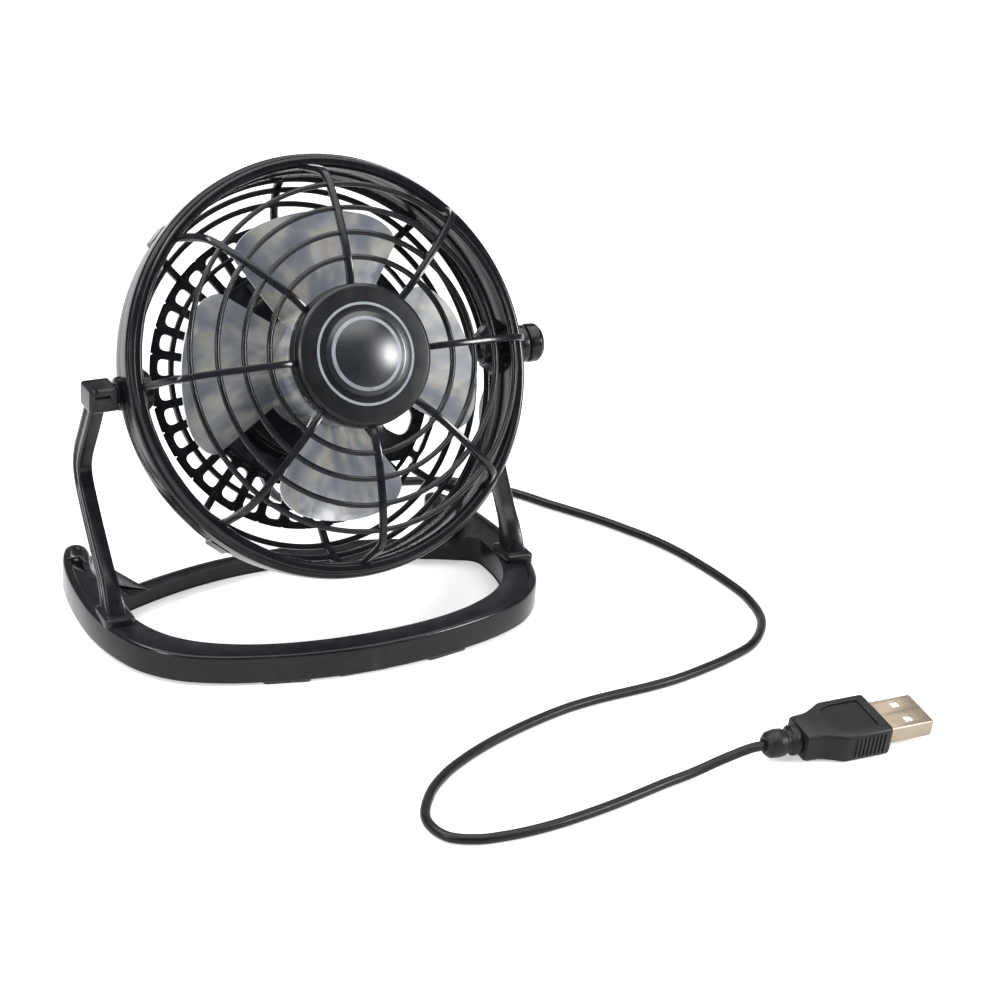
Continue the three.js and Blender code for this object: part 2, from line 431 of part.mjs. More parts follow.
// ---------- USB-A plug: shell 12.0 x 4.5, 11.9 long outside the grip ----------
const plug = new THREE.Group();
plug.position.set(PLUG.x, PLUG.y, PLUG.axisZ);
plug.rotation.set(PLUG.roll, 0, PLUG.yaw, 'ZYX');   // it lies a little on its near edge
fan.add(plug);
{ // grip, drawn in plan, then its thickness tapers at the cord end
  const w = 7.9;
  const plan = [[0, -w], [0, w], [-1.2, w + 0.05], [-13.0, w], [-14.4, w - 0.4], [-18.4, 5.3], [-23.0, 5.0], [-23.0, -5.0], [-18.4, -5.3], [-14.4, -w + 0.4], [-13.0, -w], [-1.2, -w - 0.05]];
  let m = man(extrudeZ(plan, -3.95, 3.95, 0.9));
  m = m.subtract(man(box(-9.0, 2, -6.3, 6.3, -2.55, 2.55)));
  m = m.subtract(man(extrudeZ([[-2.8, -5.2], [-2.8, 5.2], [-14.0, 5.2], [-14.0, -5.2]], 3.6, 6)));
  add(plug, 'plug_grip', geoOf(m), 'rubber');
}
{ // strain relief: two collars
  const g = lathe([[CORD_D / 2 + 0.35, -23.3], [3.8, -23.3], [3.8, -25.4], [2.9, -25.8], [2.9, -26.7], [3.5, -27.2], [3.5, -30.4], [2.7, -32.3], [CORD_D / 2 + 0.35, -32.3]], 16, true);
  g.rotateY(Math.PI / 2);
  add(plug, 'plug_strain_relief', g, 'rubber');
}
{
  const outerP = [[-6.0, -2.25], [6.0, -2.25], [6.0, 2.25], [-6.0, 2.25]], innerP = [[-5.65, -1.9], [5.65, -1.9], [5.65, 1.9], [-5.65, 1.9]];
  // section in y-z, length along x
  let m = man(box(-8.4, 13.2, -6.0, 6.0, -2.25, 2.25));
  m = m.subtract(man(box(-10, 15, -5.65, 5.65, -1.9, 1.9)));
  for (const s of [-1, 1]) m = m.subtract(man(box(6.0, 8.4, s * 3.1 - 1.15, s * 3.1 + 1.15, -3, 3)));
  add(plug, 'plug_shell', geoOf(m), 'nickel');
}
add(plug, 'plug_tongue', box(-8.0, 12.5, -5.35, 5.35, -0.1, 1.6), 'white');
for (let i = 0; i < 4; i++) {
  const y = [-3.5, -1.0, 1.0, 3.5][i];
  add(plug, 'plug_contact_' + (i + 1), box(i % 3 ? 2.4 : 1.2, 11.4, y - 0.5, y + 0.5, -0.6, -0.4), 'gold');
}

export default fan;
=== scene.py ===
"""Looks for the small tilting USB desk fan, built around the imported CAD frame."""
import json
import math

import bpy
import bmesh
import numpy as np
from mathutils import Vector, Matrix

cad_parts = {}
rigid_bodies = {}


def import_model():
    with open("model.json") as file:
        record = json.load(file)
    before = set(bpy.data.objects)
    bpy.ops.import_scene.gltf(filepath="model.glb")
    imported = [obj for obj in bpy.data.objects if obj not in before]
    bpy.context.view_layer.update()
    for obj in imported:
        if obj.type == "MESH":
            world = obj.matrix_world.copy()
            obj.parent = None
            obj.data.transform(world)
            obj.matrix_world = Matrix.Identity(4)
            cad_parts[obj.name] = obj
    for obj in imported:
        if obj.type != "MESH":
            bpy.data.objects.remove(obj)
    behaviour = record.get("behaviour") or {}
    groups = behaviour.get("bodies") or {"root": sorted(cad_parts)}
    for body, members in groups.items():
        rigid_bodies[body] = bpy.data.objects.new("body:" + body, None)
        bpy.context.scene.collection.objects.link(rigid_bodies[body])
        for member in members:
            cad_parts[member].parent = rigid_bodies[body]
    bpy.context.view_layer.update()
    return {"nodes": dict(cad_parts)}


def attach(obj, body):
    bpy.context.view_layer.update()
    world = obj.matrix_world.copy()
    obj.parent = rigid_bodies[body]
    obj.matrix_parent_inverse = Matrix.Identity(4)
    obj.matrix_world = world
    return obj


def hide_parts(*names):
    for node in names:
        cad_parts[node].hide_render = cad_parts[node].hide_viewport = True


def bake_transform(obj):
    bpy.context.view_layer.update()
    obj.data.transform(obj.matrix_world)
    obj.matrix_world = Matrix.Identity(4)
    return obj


for old in list(bpy.data.objects):
    bpy.data.objects.remove(old, do_unlink=True)

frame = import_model()
nodes = frame["nodes"]

MM = 0.001
OY = 2.98                       # same shift as the CAD
PZ = 67.4
TILT = math.radians(28.3)
CT, ST = math.cos(TILT), math.sin(TILT)
PLUG = (103.2, -115.2, 4.95, 0.0, math.radians(7.0))


# ------------------------------------------------------------------ frames
def design(v):
    """Design millimetres to row-frame metres."""
    v = np.atleast_2d(np.array(v, float))
    return (v + np.array([0, OY, 0])) * MM


def headp(v):
    """Head millimetres (x right, y up in the disc plane, z along the fan axis) to row-frame metres."""
    v = np.atleast_2d(np.array(v, float))
    return np.stack([v[:, 0], v[:, 1] * ST - v[:, 2] * CT + OY, PZ + v[:, 1] * CT + v[:, 2] * ST], 1) * MM


def plugp(v):
    """Plug millimetres (x towards the metal tip) to row-frame metres."""
    v = np.atleast_2d(np.array(v, float))
    cr, sr_ = math.cos(PLUG[4]), math.sin(PLUG[4])
    v = np.stack([v[:, 0], v[:, 1] * cr - v[:, 2] * sr_, v[:, 1] * sr_ + v[:, 2] * cr], 1)
    c, s = math.cos(PLUG[3]), math.sin(PLUG[3])
    return np.stack([PLUG[0] + v[:, 0] * c - v[:, 1] * s, PLUG[1] + OY + v[:, 0] * s + v[:, 1] * c, PLUG[2] + v[:, 2]], 1) * MM


# ------------------------------------------------------------------ mesh helpers
class Shape:
    """Gathers vertices and faces, then makes one object of them."""

    def __init__(self):
        self.v, self.f, self.m, self.n = [], [], [], 0

    def add(self, verts, faces, mat=0):
        verts = np.asarray(verts, float).reshape(-1, 3)
        self.v.append(verts)
        self.f += [tuple(i + self.n for i in face) for face in faces]
        self.m += [mat] * len(faces)
        self.n += len(verts)

    def make(self, name, to, mats, body, replaces=(), bevel=0.0, segments=2, angle=35.0, subsurf=0):
        mesh = bpy.data.meshes.new(name)
        mesh.from_pydata([tuple(p) for p in to(np.concatenate(self.v))], [], self.f)
        mesh.update()
        for mt in mats:
            mesh.materials.append(mt)
        for p, mi in zip(mesh.polygons, self.m):
            p.material_index = mi
        bm = bmesh.new()
        bm.from_mesh(mesh)
        bmesh.ops.remove_doubles(bm, verts=bm.verts, dist=1e-7)
        bmesh.ops.recalc_face_normals(bm, faces=bm.faces)
        bm.to_mesh(mesh)
        bm.free()
        o = bpy.data.objects.new(name, mesh)
        bpy.context.scene.collection.objects.link(o)
        if bevel > 0:
            b = o.modifiers.new("edges", "BEVEL")
            b.width, b.segments, b.limit_method, b.angle_limit = bevel * MM, segments, "ANGLE", math.radians(30)
            b.harden_normals = False
        if subsurf:
            s = o.modifiers.new("soft", "SUBSURF")
            s.levels = s.render_levels = subsurf
        if bevel > 0 or subsurf:
            bake(o)
        smooth(o, angle)
        if replaces:
            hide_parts(*replaces)
        if body:
            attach(o, body)
        return o


def bake(o):
    """Turns an object's modifiers into its mesh."""
    dg = bpy.context.evaluated_depsgraph_get()
    new = bpy.data.meshes.new_from_object(o.evaluated_get(dg))
    old = o.data
    o.modifiers.clear()
    o.data = new
    new.name = old.name
    bpy.data.meshes.remove(old)


def smooth(o, angle=35.0):
    me = o.data
    me.polygons.foreach_set("use_smooth", [True] * len(me.polygons))
    me.update()
    if angle < 180:
        me.set_sharp_from_angle(angle=math.radians(angle))


def fillet(pts, radii, n=4, closed=True):
    """Rounds the corners of a 2-D outline."""
    pts = [np.array(p, float) for p in pts]
    out, N = [], len(pts)
    for i, p in enumerate(pts):
        r = radii[i] if isinstance(radii, (list, tuple)) else radii
        if (not closed and i in (0, N - 1)) or r <= 0:
            out.append(p)
            continue
        a, b = pts[(i - 1) % N] - p, pts[(i + 1) % N] - p
        la, lb = np.linalg.norm(a), np.linalg.norm(b)
        a, b = a / la, b / lb
        ang = math.acos(max(-1, min(1, float(a @ b))))
        if ang > math.pi - 0.02:
            out.append(p)
            continue
        d = min(r / math.tan(ang / 2), la * 0.49, lb * 0.49)
        p0, p1 = p + a * d, p + b * d
        for k in range(n + 1):
            t = k / n
            out.append((1 - t) ** 2 * p0 + 2 * t * (1 - t) * p + t * t * p1)
    return out


def lathe(sh, profile, segs=128, closed=True, a0=0.0, a1=360.0, mat=0):
    """Profile of (radius, height) turned about the third axis; a part turn gets end caps."""
    full = abs(a1 - a0) >= 360
    prof = [tuple(p) for p in profile]
    n = len(prof)
    cols = segs if full else segs + 1
    verts = []
    for j in range(cols):
        t = math.radians(a0 + (a1 - a0) * j / segs)
        c, s = math.cos(t), math.sin(t)
        verts += [(r * c, r * s, z) for r, z in prof]
    faces = []
    m = n if closed else n - 1
    for j in range(segs):
        j2 = (j + 1) % cols
        for i in range(m):
            i2 = (i + 1) % n
            faces.append((j * n + i, j * n + i2, j2 * n + i2, j2 * n + i))
    if not full and closed:
        faces.append(tuple(range(n)))
        faces.append(tuple((cols - 1) * n + i for i in reversed(range(n))))
    sh.add(verts, faces, mat)


def catmull(points, count):
    """Resamples a smooth curve through points at even spacing."""
    P = np.array(points, float)
    P = np.vstack([2 * P[0] - P[1], P, 2 * P[-1] - P[-2]])
    out = []
    for i in range(1, len(P) - 2):
        p0, p1, p2, p3 = P[i - 1], P[i], P[i + 1], P[i + 2]
        d = [max(1e-9, np.linalg.norm(b - a)) ** 0.5 for a, b in ((p0, p1), (p1, p2), (p2, p3))]
        t0, t1 = 0.0, d[0]
        t2, t3 = t1 + d[1], t1 + d[1] + d[2]
        for t in np.linspace(t1, t2, 24, endpoint=False):
            a1 = (t1 - t) / (t1 - t0) * p0 + (t - t0) / (t1 - t0) * p1
            a2 = (t2 - t) / (t2 - t1) * p1 + (t - t1) / (t2 - t1) * p2
            a3 = (t3 - t) / (t3 - t2) * p2 + (t - t2) / (t3 - t2) * p3
            b1 = (t2 - t) / (t2 - t0) * a1 + (t - t0) / (t2 - t0) * a2
            b2 = (t3 - t) / (t3 - t1) * a2 + (t - t1) / (t3 - t1) * a3
            out.append((t2 - t) / (t2 - t1) * b1 + (t - t1) / (t2 - t1) * b2)
    out.append(P[-2])
    out = np.array(out)
    s = np.concatenate([[0], np.cumsum(np.linalg.norm(np.diff(out, axis=0), axis=1))])
    u = np.linspace(0, s[-1], count)
    return np.stack([np.interp(u, s, out[:, k]) for k in range(out.shape[1])], 1)


def sweep(sh, path, section, side, scale=None, mat=0, caps=True):
    """Moves a closed 2-D section along path; its first axis stays along side as well as it can."""
    path = np.asarray(path, float)
    n, k = len(path), len(section)
    T = np.gradient(path, axis=0)
    T /= np.linalg.norm(T, axis=1)[:, None]
    verts = []
    for i in range(n):
        w = np.array(side[i] if np.ndim(side) == 2 else side, float)
        w = w - T[i] * (w @ T[i])
        w /= np.linalg.norm(w)
        h = np.cross(T[i], w)
        sc = (1, 1) if scale is None else scale[i]
        verts += [path[i] + w * x * sc[0] + h * y * sc[1] for x, y in section]
    faces = [(i * k + j, i * k + (j + 1) % k, (i + 1) * k + (j + 1) % k, (i + 1) * k + j) for i in range(n - 1) for j in range(k)]
    if caps:
        faces.append(tuple(reversed(range(k))))
        faces.append(tuple((n - 1) * k + j for j in range(k)))
    sh.add(verts, faces, mat)


def prism(sh, outline, z0, z1, mat=0, round_edge=0.0, steps=3):
    """Upright solid of a simple outline; its top and bottom edges may be rounded by insetting."""
    o = np.array(outline, float)
    if round_edge > 0:
        nrm = outline_normals(o)
        rows = []
        for k in range(steps + 1):
            t = math.pi / 2 * k / steps
            rows.append((o - nrm * round_edge * (1 - math.sin(t)), z0 + round_edge * (1 - math.cos(t))))
        for k in range(steps + 1):
            t = math.pi / 2 * k / steps
            rows.append((o - nrm * round_edge * (1 - math.cos(t)), z1 - round_edge * (1 - math.sin(t))))
    else:
        rows = [(o, z0), (o, z1)]
    n = len(o)
    verts = [(p[0], p[1], z) for r, z in rows for p in r]
    faces = [(i * n + j, i * n + (j + 1) % n, (i + 1) * n + (j + 1) % n, (i + 1) * n + j) for i in range(len(rows) - 1) for j in range(n)]
    faces.append(tuple(reversed(range(n))))
    faces.append(tuple((len(rows) - 1) * n + j for j in range(n)))
    sh.add(verts, faces, mat)


def outline_normals(o):
    """Outward unit normals of a closed outline at its corners, long enough for an even inset."""
    area = 0.5 * np.sum(o[:, 0] * np.roll(o[:, 1], -1) - np.roll(o[:, 0], -1) * o[:, 1])
    e = np.roll(o, -1, 0) - o
    e /= np.linalg.norm(e, axis=1)[:, None]
    en = np.stack([e[:, 1], -e[:, 0]], 1) * (1 if area > 0 else -1)
    nn = en + np.roll(en, 1, 0)
    nn /= np.maximum(1e-9, np.linalg.norm(nn, axis=1))[:, None]
    cosv = np.clip(np.sum(nn * en, 1), 0.5, 1)
    return nn / cosv[:, None]


# ------------------------------------------------------------------ materials
def ramp(nt, stops, x, y):
    r = nt.nodes.new("ShaderNodeValToRGB")
    r.location = (x, y)
    r.color_ramp.elements[0].position, r.color_ramp.elements[0].color = stops[0][0], (*stops[0][1], 1)
    r.color_ramp.elements[1].position, r.color_ramp.elements[1].color = stops[-1][0], (*stops[-1][1], 1)
    for pos, col in stops[1:-1]:
        e = r.color_ramp.elements.new(pos)
        e.color = (*col, 1)
    return r


def noise(nt, coord, scale, detail=4.0, rough=0.55, stretch=None):
    if stretch is not None:
        mp = nt.nodes.new("ShaderNodeMapping")
        mp.inputs["Scale"].default_value = stretch
        nt.links.new(coord, mp.inputs["Vector"])
        coord = mp.outputs["Vector"]
    t = nt.nodes.new("ShaderNodeTexNoise")
    t.inputs["Scale"].default_value = scale
    t.inputs["Detail"].default_value = detail
    t.inputs["Roughness"].default_value = rough
    nt.links.new(coord, t.inputs["Vector"])
    return t.outputs["Fac"]


def maprange(nt, val, lo, hi, f0=0.3, f1=0.7):
    m = nt.nodes.new("ShaderNodeMapRange")
    m.inputs["From Min"].default_value, m.inputs["From Max"].default_value = f0, f1
    m.inputs["To Min"].default_value, m.inputs["To Max"].default_value = lo, hi
    nt.links.new(val, m.inputs["Value"])
    return m.outputs["Result"]


def surface(name, dark, light, rough=(0.3, 0.45), grain=1800.0, bump=0.05, metal=0.0, cloud=45.0, coat=0.0, stretch=None, worn=None, alpha=None, spec=0.5):
    """A moulded or metal surface: clouded colour, uneven gloss, fine grain and paler, rubbed edges."""
    mt = bpy.data.materials.new(name)
    mt.use_nodes = True
    nt = mt.node_tree
    bs = nt.nodes["Principled BSDF"]
    co = nt.nodes.new("ShaderNodeTexCoord").outputs["Object"]
    n1 = noise(nt, co, cloud, 5.0, 0.6)
    cr = ramp(nt, [(0.32, dark), (0.68, light)], -400, 200)
    nt.links.new(n1, cr.inputs["Fac"])
    col = cr.outputs["Color"]
    if worn is not None:
        geo = nt.nodes.new("ShaderNodeNewGeometry")
        pr = ramp(nt, [(0.50, (0, 0, 0)), (0.60, (1, 1, 1))], -600, 0)
        nt.links.new(geo.outputs["Pointiness"], pr.inputs["Fac"])
        mul = nt.nodes.new("ShaderNodeMath")
        mul.operation = "MULTIPLY"
        nt.links.new(pr.outputs["Color"], mul.inputs[0])
        nt.links.new(maprange(nt, noise(nt, co, cloud * 9, 3.0), 0.1, 0.9), mul.inputs[1])
        mx = nt.nodes.new("ShaderNodeMix")
        mx.data_type = "RGBA"
        nt.links.new(mul.outputs[0], mx.inputs["Factor"])
        nt.links.new(col, mx.inputs["A"])
        mx.inputs["B"].default_value = (*worn, 1)
        col = mx.outputs["Result"]
    nt.links.new(col, bs.inputs["Base Color"])
    n2 = noise(nt, co, cloud * 2.7, 6.0, 0.65, stretch)
    nt.links.new(maprange(nt, n2, rough[0], rough[1]), bs.inputs["Roughness"])
    bs.inputs["Metallic"].default_value = metal
    bs.inputs["Specular IOR Level"].default_value = spec
    if coat:
        bs.inputs["Coat Weight"].default_value = coat
        bs.inputs["Coat Roughness"].default_value = 0.06
    if alpha is not None:
        bs.inputs["Alpha"].default_value = alpha
    bp = nt.nodes.new("ShaderNodeBump")
    bp.inputs["Strength"].default_value = bump
    bp.inputs["Distance"].default_value = 0.0002
    nt.links.new(noise(nt, co, grain, 3.0, 0.6, stretch), bp.inputs["Height"])
    nt.links.new(bp.outputs["Normal"], bs.inputs["Normal"])
    return mt


BLACK = surface("stand_black", (0.0016, 0.0016, 0.0022), (0.0042, 0.0043, 0.0056), (0.15, 0.27), 1500, 0.06, worn=(0.02, 0.021, 0.024), spec=0.20)
GUARD = surface("guard_black", (0.0014, 0.0015, 0.0020), (0.0038, 0.0040, 0.0052), (0.12, 0.22), 1700, 0.04, worn=(0.02, 0.021, 0.025), spec=0.20)
COVER = surface("cover_black", (0.004, 0.004, 0.0045), (0.008, 0.008, 0.009), (0.36, 0.52), 1100, 0.2, spec=0.3)
SOFT = surface("soft_black", (0.0030, 0.0030, 0.0034), (0.0062, 0.0062, 0.0068), (0.34, 0.5), 2300, 0.14, cloud=120, worn=(0.02, 0.02, 0.021), spec=0.17)
JACKET = surface("cord_black", (0.0022, 0.0022, 0.0025), (0.0050, 0.0050, 0.0056), (0.30, 0.44), 2600, 0.10, cloud=90, spec=0.17)
RUBBER = surface("foot_rubber", (0.012, 0.012, 0.012), (0.024, 0.023, 0.022), (0.65, 0.85), 900, 0.35, cloud=200)
STEEL = surface("zinc_steel", (0.42, 0.43, 0.44), (0.62, 0.62, 0.63), (0.22, 0.42), 1400, 0.06, metal=1.0, cloud=160)
NICKEL = surface("plug_nickel", (0.25, 0.205, 0.155), (0.36, 0.30, 0.235), (0.42, 0.54), 900, 0.06, metal=1.0, cloud=70, stretch=(0.12, 1, 1))
BRONZE = surface("bronze", (0.38, 0.22, 0.08), (0.56, 0.36, 0.14), (0.3, 0.5), 2600, 0.2, metal=1.0, cloud=300)
COPPER = surface("copper_strip", (0.55, 0.25, 0.13), (0.72, 0.36, 0.2), (0.22, 0.4), 1200, 0.06, metal=1.0, cloud=200)
FERRITE = surface("ferrite", (0.03, 0.03, 0.033), (0.06, 0.06, 0.065), (0.5, 0.75), 1600, 0.4, metal=0.3, cloud=240)
NYLON = surface("white_nylon", (0.70, 0.70, 0.67), (0.82, 0.82, 0.79), (0.35, 0.5), 1300, 0.1, cloud=90)
GOLD = surface("gold_contact", (0.68, 0.47, 0.16), (0.85, 0.62, 0.26), (0.2, 0.34), 1500, 0.05, metal=1.0, cloud=300)


def blade_material(name, stops, alpha, rough=(0.10, 0.22)):
    """Smoke-tinted plastic: faint streaks run out along each blade, some warmer and some cooler."""
    mt = bpy.data.materials.new(name)
    mt.use_nodes = True
    nt = mt.node_tree
    bs = nt.nodes["Principled BSDF"]
    co = nt.nodes.new("ShaderNodeTexCoord").outputs["UV"]
    streak = noise(nt, co, 5.0, 2.5, 0.5, (0.36, 0.34, 1.0))
    cr = ramp(nt, stops, -400, 200)
    nt.links.new(streak, cr.inputs["Fac"])
    nt.links.new(cr.outputs["Color"], bs.inputs["Base Color"])
    nt.links.new(maprange(nt, noise(nt, co, 14.0, 5.0), rough[0], rough[1]), bs.inputs["Roughness"])
    nt.links.new(maprange(nt, noise(nt, co, 4.0, 2.0, 0.5, (1.4, 1.0, 1.0)), alpha[0], alpha[1], 0.35, 0.65), bs.inputs["Alpha"])
    bs.inputs["IOR"].default_value = 1.5
    bp = nt.nodes.new("ShaderNodeBump")
    bp.inputs["Strength"].default_value = 0.10
    bp.inputs["Distance"].default_value = 0.0003
    nt.links.new(noise(nt, co, 9.0, 2.0, 0.5, (0.5, 0.3, 1.0)), bp.inputs["Height"])
    nt.links.new(bp.outputs["Normal"], bs.inputs["Normal"])
    return mt


BLADE = blade_material("smoke_blade", [(0.30, (0.074, 0.084, 0.100)), (0.42, (0.094, 0.103, 0.118)), (0.50, (0.122, 0.127, 0.136)), (0.58, (0.176, 0.170, 0.159)), (0.68, (0.200, 0.198, 0.195))], (0.88, 0.95))
# pale colour for the blades' side faces: a painted highlight standing in for the lit edges of the smoke plastic
BLADE_EDGE_PAINTED_HIGHLIGHT = blade_material("smoke_blade_edge_painted_highlight", [(0.3, (0.60, 0.61, 0.62)), (0.7, (0.80, 0.80, 0.79))], (0.90, 0.98))


# ------------------------------------------------------------------ camera and cord
cam = bpy.data.objects.new("camera", bpy.data.cameras.new("camera"))
bpy.context.scene.collection.objects.link(cam)
cam.data.sensor_width = 36.0
cam.data.lens = 104.103
cam.data.clip_start, cam.data.clip_end = 0.02, 20.0
right, up, fwd = Vector((0.8933277, -0.4447385, 0.0646014)), Vector((0.1343546, 0.4014701, 0.9059639)), Vector((0.4288525, 0.8006432, -0.4183970))
m = Matrix((right, up, -fwd)).transposed().to_4x4()
m.translation = Vector((-280.2801, -626.0681 + OY, 349.3576)) * MM
cam.matrix_world = m
bpy.context.scene.camera = cam

Z = 1.35
ROUTE = [None, None, (3.0, 45.6, 25.5), (7.2, 50.6, 14.0), (14.0, 55.4, 4.6), (22.5, 58.8, Z + 0.5), (33, 61.0, Z + 0.05), (45, 61.6, Z), (57, 60.2, Z), (68, 56.4, Z), (77, 49.9, Z),
         (84.2, 40.6, Z), (88.1, 33.9, Z), (92.9, 26.5, Z), (97.6, 19.0, Z), (101.8, 11.0, Z), (105.7, 2.7, Z), (108.7, -6.5, Z), (110.8, -16.9, Z), (112.2, -27.2, Z), (112.6, -37.9, Z), (109.3, -51.2, Z), (100.2, -61.9, Z),
         (89.7, -66.9, Z), (80.2, -70.0, Z), (70.8, -72.4, Z), (62.2, -73.6, Z), (54.3, -74.2, Z), (46.2, -74.9, Z), (37.7, -76.3, Z), (29.0, -78.7, Z), (20.4, -81.7, Z), (11.8, -85.2, Z), (3.2, -89.6, Z), (-5.4, -95.2, Z), (-13.2, -102.9, Z), (-18.6, -113.0, Z),
         (-17.2, -120.8, Z), (-11.2, -124.4, Z), (-4.3, -125.4, Z), (2.9, -125.4, Z), (10.3, -124.7, Z), (17.9, -123.4, Z), (25.9, -121.7, Z), (34.0, -119.6, Z), (42.3, -117.6, Z + 0.2), (50.6, -116.3, Z + 0.7), (59.6, -115.5, Z + 2.3)]
GLAND_Y, GLAND_TIP = -9.0, -41.0
route = [tuple(headp([0, GLAND_Y, GLAND_TIP - 0.3])[0]), tuple(headp([0, GLAND_Y, GLAND_TIP - 5.3])[0])]
route += [tuple(design(p)[0]) for p in ROUTE[2:]]
route += [tuple(plugp([-35.6, 0, 0])[0]), tuple(plugp([-32.6, 0, 0])[0])]
line = catmull(np.array(route), 420)
line[:, 2] = np.maximum(line[:, 2], 0.00129)
cord = Shape()
section = [(1.25 * MM * math.cos(2 * math.pi * k / 16), 1.25 * MM * math.sin(2 * math.pi * k / 16)) for k in range(16)]
T = np.gradient(line, axis=0)
T /= np.linalg.norm(T, axis=1)[:, None]
w, sides = np.array([1.0, 0, 0]), []
for t in T:
    w = w - t * (w @ t)
    w /= np.linalg.norm(w)
    sides.append(w.copy())
sweep(cord, line, section, np.array(sides))
cord_o = cord.make("lead", lambda v: v, [JACKET], None, replaces=["usb_cord"], angle=60)
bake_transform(cord_o)

# ------------------------------------------------------------------ front grille
RIM_R = 54.2
RINGS = [(24.4, 29.4), (30.7, 28.6), (37.1, 27.3), (43.4, 25.2)]
SPOKE = [(16.6, 28.0), (20.0, 29.0), (24.4, 29.4), (30.7, 28.7), (37.1, 27.4), (43.4, 25.2), (46.4, 23.2), (48.0, 20.0), (49.4, 14.8), (50.9, 9.4)]
g = Shape()
rim = fillet([(50.3, 3.3), (50.3, 9.8), (51.0, 11.3), (52.7, 11.3), (53.3, 10.2), (53.2, 9.2), (53.9, 8.9), (54.2, 8.1), (54.2, 4.3), (53.5, 3.3)], [0.2, 0.7, 0.8, 0.9, 0.5, 0.3, 0.4, 0.5, 0.6, 0.3], 4)
lathe(g, rim, 192)
for k, (r, a) in enumerate(RINGS):
    lathe(g, fillet([(r - 0.66, a - 0.72), (r + 0.66, a - 0.72), (r + 0.66, a + 0.4), (r, a + 0.8), (r - 0.66, a + 0.4)], 0.4, 3), (96, 112, 128, 144)[k])
lathe(g, fillet([(2.4, 25.7), (2.4, 28.9), (18.0, 28.9), (18.0, 25.7)], [0.1, 0.1, 0.5, 0.3], 3), 96)
sec = fillet([(-0.85, -0.95), (0.85, -0.95), (0.85, 0.6), (0.4, 0.95), (-0.4, 0.95), (-0.85, 0.6)], 0.3, 2)
for i in range(8):
    th = i * math.pi / 4
    c, s = math.cos(th), math.sin(th)
    p2 = catmull(np.array(SPOKE), 44)
    sc = [(1 + 0.35 * max(0, (t - 0.93) / 0.07), 1.0) for t in np.linspace(0, 1, 44)]
    sweep(g, np.stack([p2[:, 0] * c, p2[:, 0] * s, p2[:, 1]], 1), sec, (s, -c, 0), sc)
g.make("grille_front", headp, [GUARD], "head", replaces=["front_grille"], angle=40)

# ------------------------------------------------------------------ rear shell
HOUSING = 22.5
r_ = Shape()
lathe(r_, fillet([(49.9, 3.0), (49.9, -4.4), (51.3, -4.6), (52.0, -3.4), (53.3, -2.4), (53.3, 3.0)], [0.2, 0.4, 0.5, 0.5, 0.7, 0.2], 3), 192)
for r, a in ((50.1, -6.3), (48.0, -10.0), (44.8, -13.2)):
    lathe(r_, fillet([(r - 0.75, a - 0.75), (r + 0.75, a - 0.75), (r + 0.75, a + 0.75), (r - 0.75, a + 0.75)], 0.5, 3), 144)
for i in range(8):
    th = i * math.pi / 4
    c, s = math.cos(th), math.sin(th)
    p2 = catmull(np.array([(50.9, -2.8), (50.4, -6.0), (48.2, -10.0), (44.8, -13.3), (41.5, -14.8), (38.6, -15.6)]), 26)
    sweep(r_, np.stack([p2[:, 0] * c, p2[:, 0] * s, p2[:, 1]], 1), fillet([(-0.95, -0.85), (0.95, -0.85), (0.95, 0.85), (-0.95, 0.85)], 0.4, 2), (s, -c, 0))
PA0, PA1 = -16.4, -14.8


def cell(sh, t0, t1, r0, r1, hole, a0=PA0, a1=PA1):
    """One piece of the back plate between two angles and two radii, with a rounded opening of points (radius, angle)."""
    tc, rc = (t0 + t1) / 2, (r0 + r1) / 2
    inner = [np.array(h, float) for h in hole]
    n = len(inner)
    outer = []
    for h in inner:
        dr, dt = (h[0] - rc) / (r1 - rc), (h[1] - tc) / (t1 - tc)
        k = 1 / max(abs(dr), abs(dt), 1e-6)
        outer.append(np.array([rc + dr * k * (r1 - rc), tc + dt * k * (t1 - tc)]))
    mid = [a * 0.88 + b * 0.12 for a, b in zip(inner, outer)]

    def pt(q, a):
        t = math.radians(q[1])
        return (q[0] * math.cos(t), q[0] * math.sin(t), a)

    rows = [[pt(q, a0) for q in outer], [pt(q, a0) for q in mid], [pt(q, a0 + 0.25) for q in inner], [pt(q, a1 - 0.25) for q in inner], [pt(q, a1) for q in mid], [pt(q, a1) for q in outer]]
    verts = [p for row in rows for p in row]
    faces = [(i * n + j, i * n + (j + 1) % n, (i + 1) * n + (j + 1) % n, (i + 1) * n + j) for i in range(5) for j in range(n)]
    sh.add(verts, faces)


def slot_outline(rin, rout, tc, hw_in, hw_out, rr=2.0, per=5):
    """Rounded radial slot as (radius, angle) points; half widths are in degrees."""
    pts = [(rin, tc - hw_in), (rout, tc - hw_out), (rout, tc + hw_out), (rin, tc + hw_in)]
    flat = [(p[0], (p[1] - tc) * math.pi / 180 * (rin + rout) / 2) for p in pts]
    rounded = fillet(flat, rr, per)
    back = [(p[0], tc + p[1] / (math.pi / 180 * (rin + rout) / 2)) for p in rounded]
    dense = []
    for i, p in enumerate(back):   # points along the long sides as well, so that the cells bend with the plate
        q = back[(i + 1) % len(back)]
        steps = max(1, int(math.hypot(q[0] - p[0], (q[1] - p[1]) * 0.6) / 2.2))
        for k in range(steps):
            dense.append((p[0] + (q[0] - p[0]) * k / steps, p[1] + (q[1] - p[1]) * k / steps))
    return dense


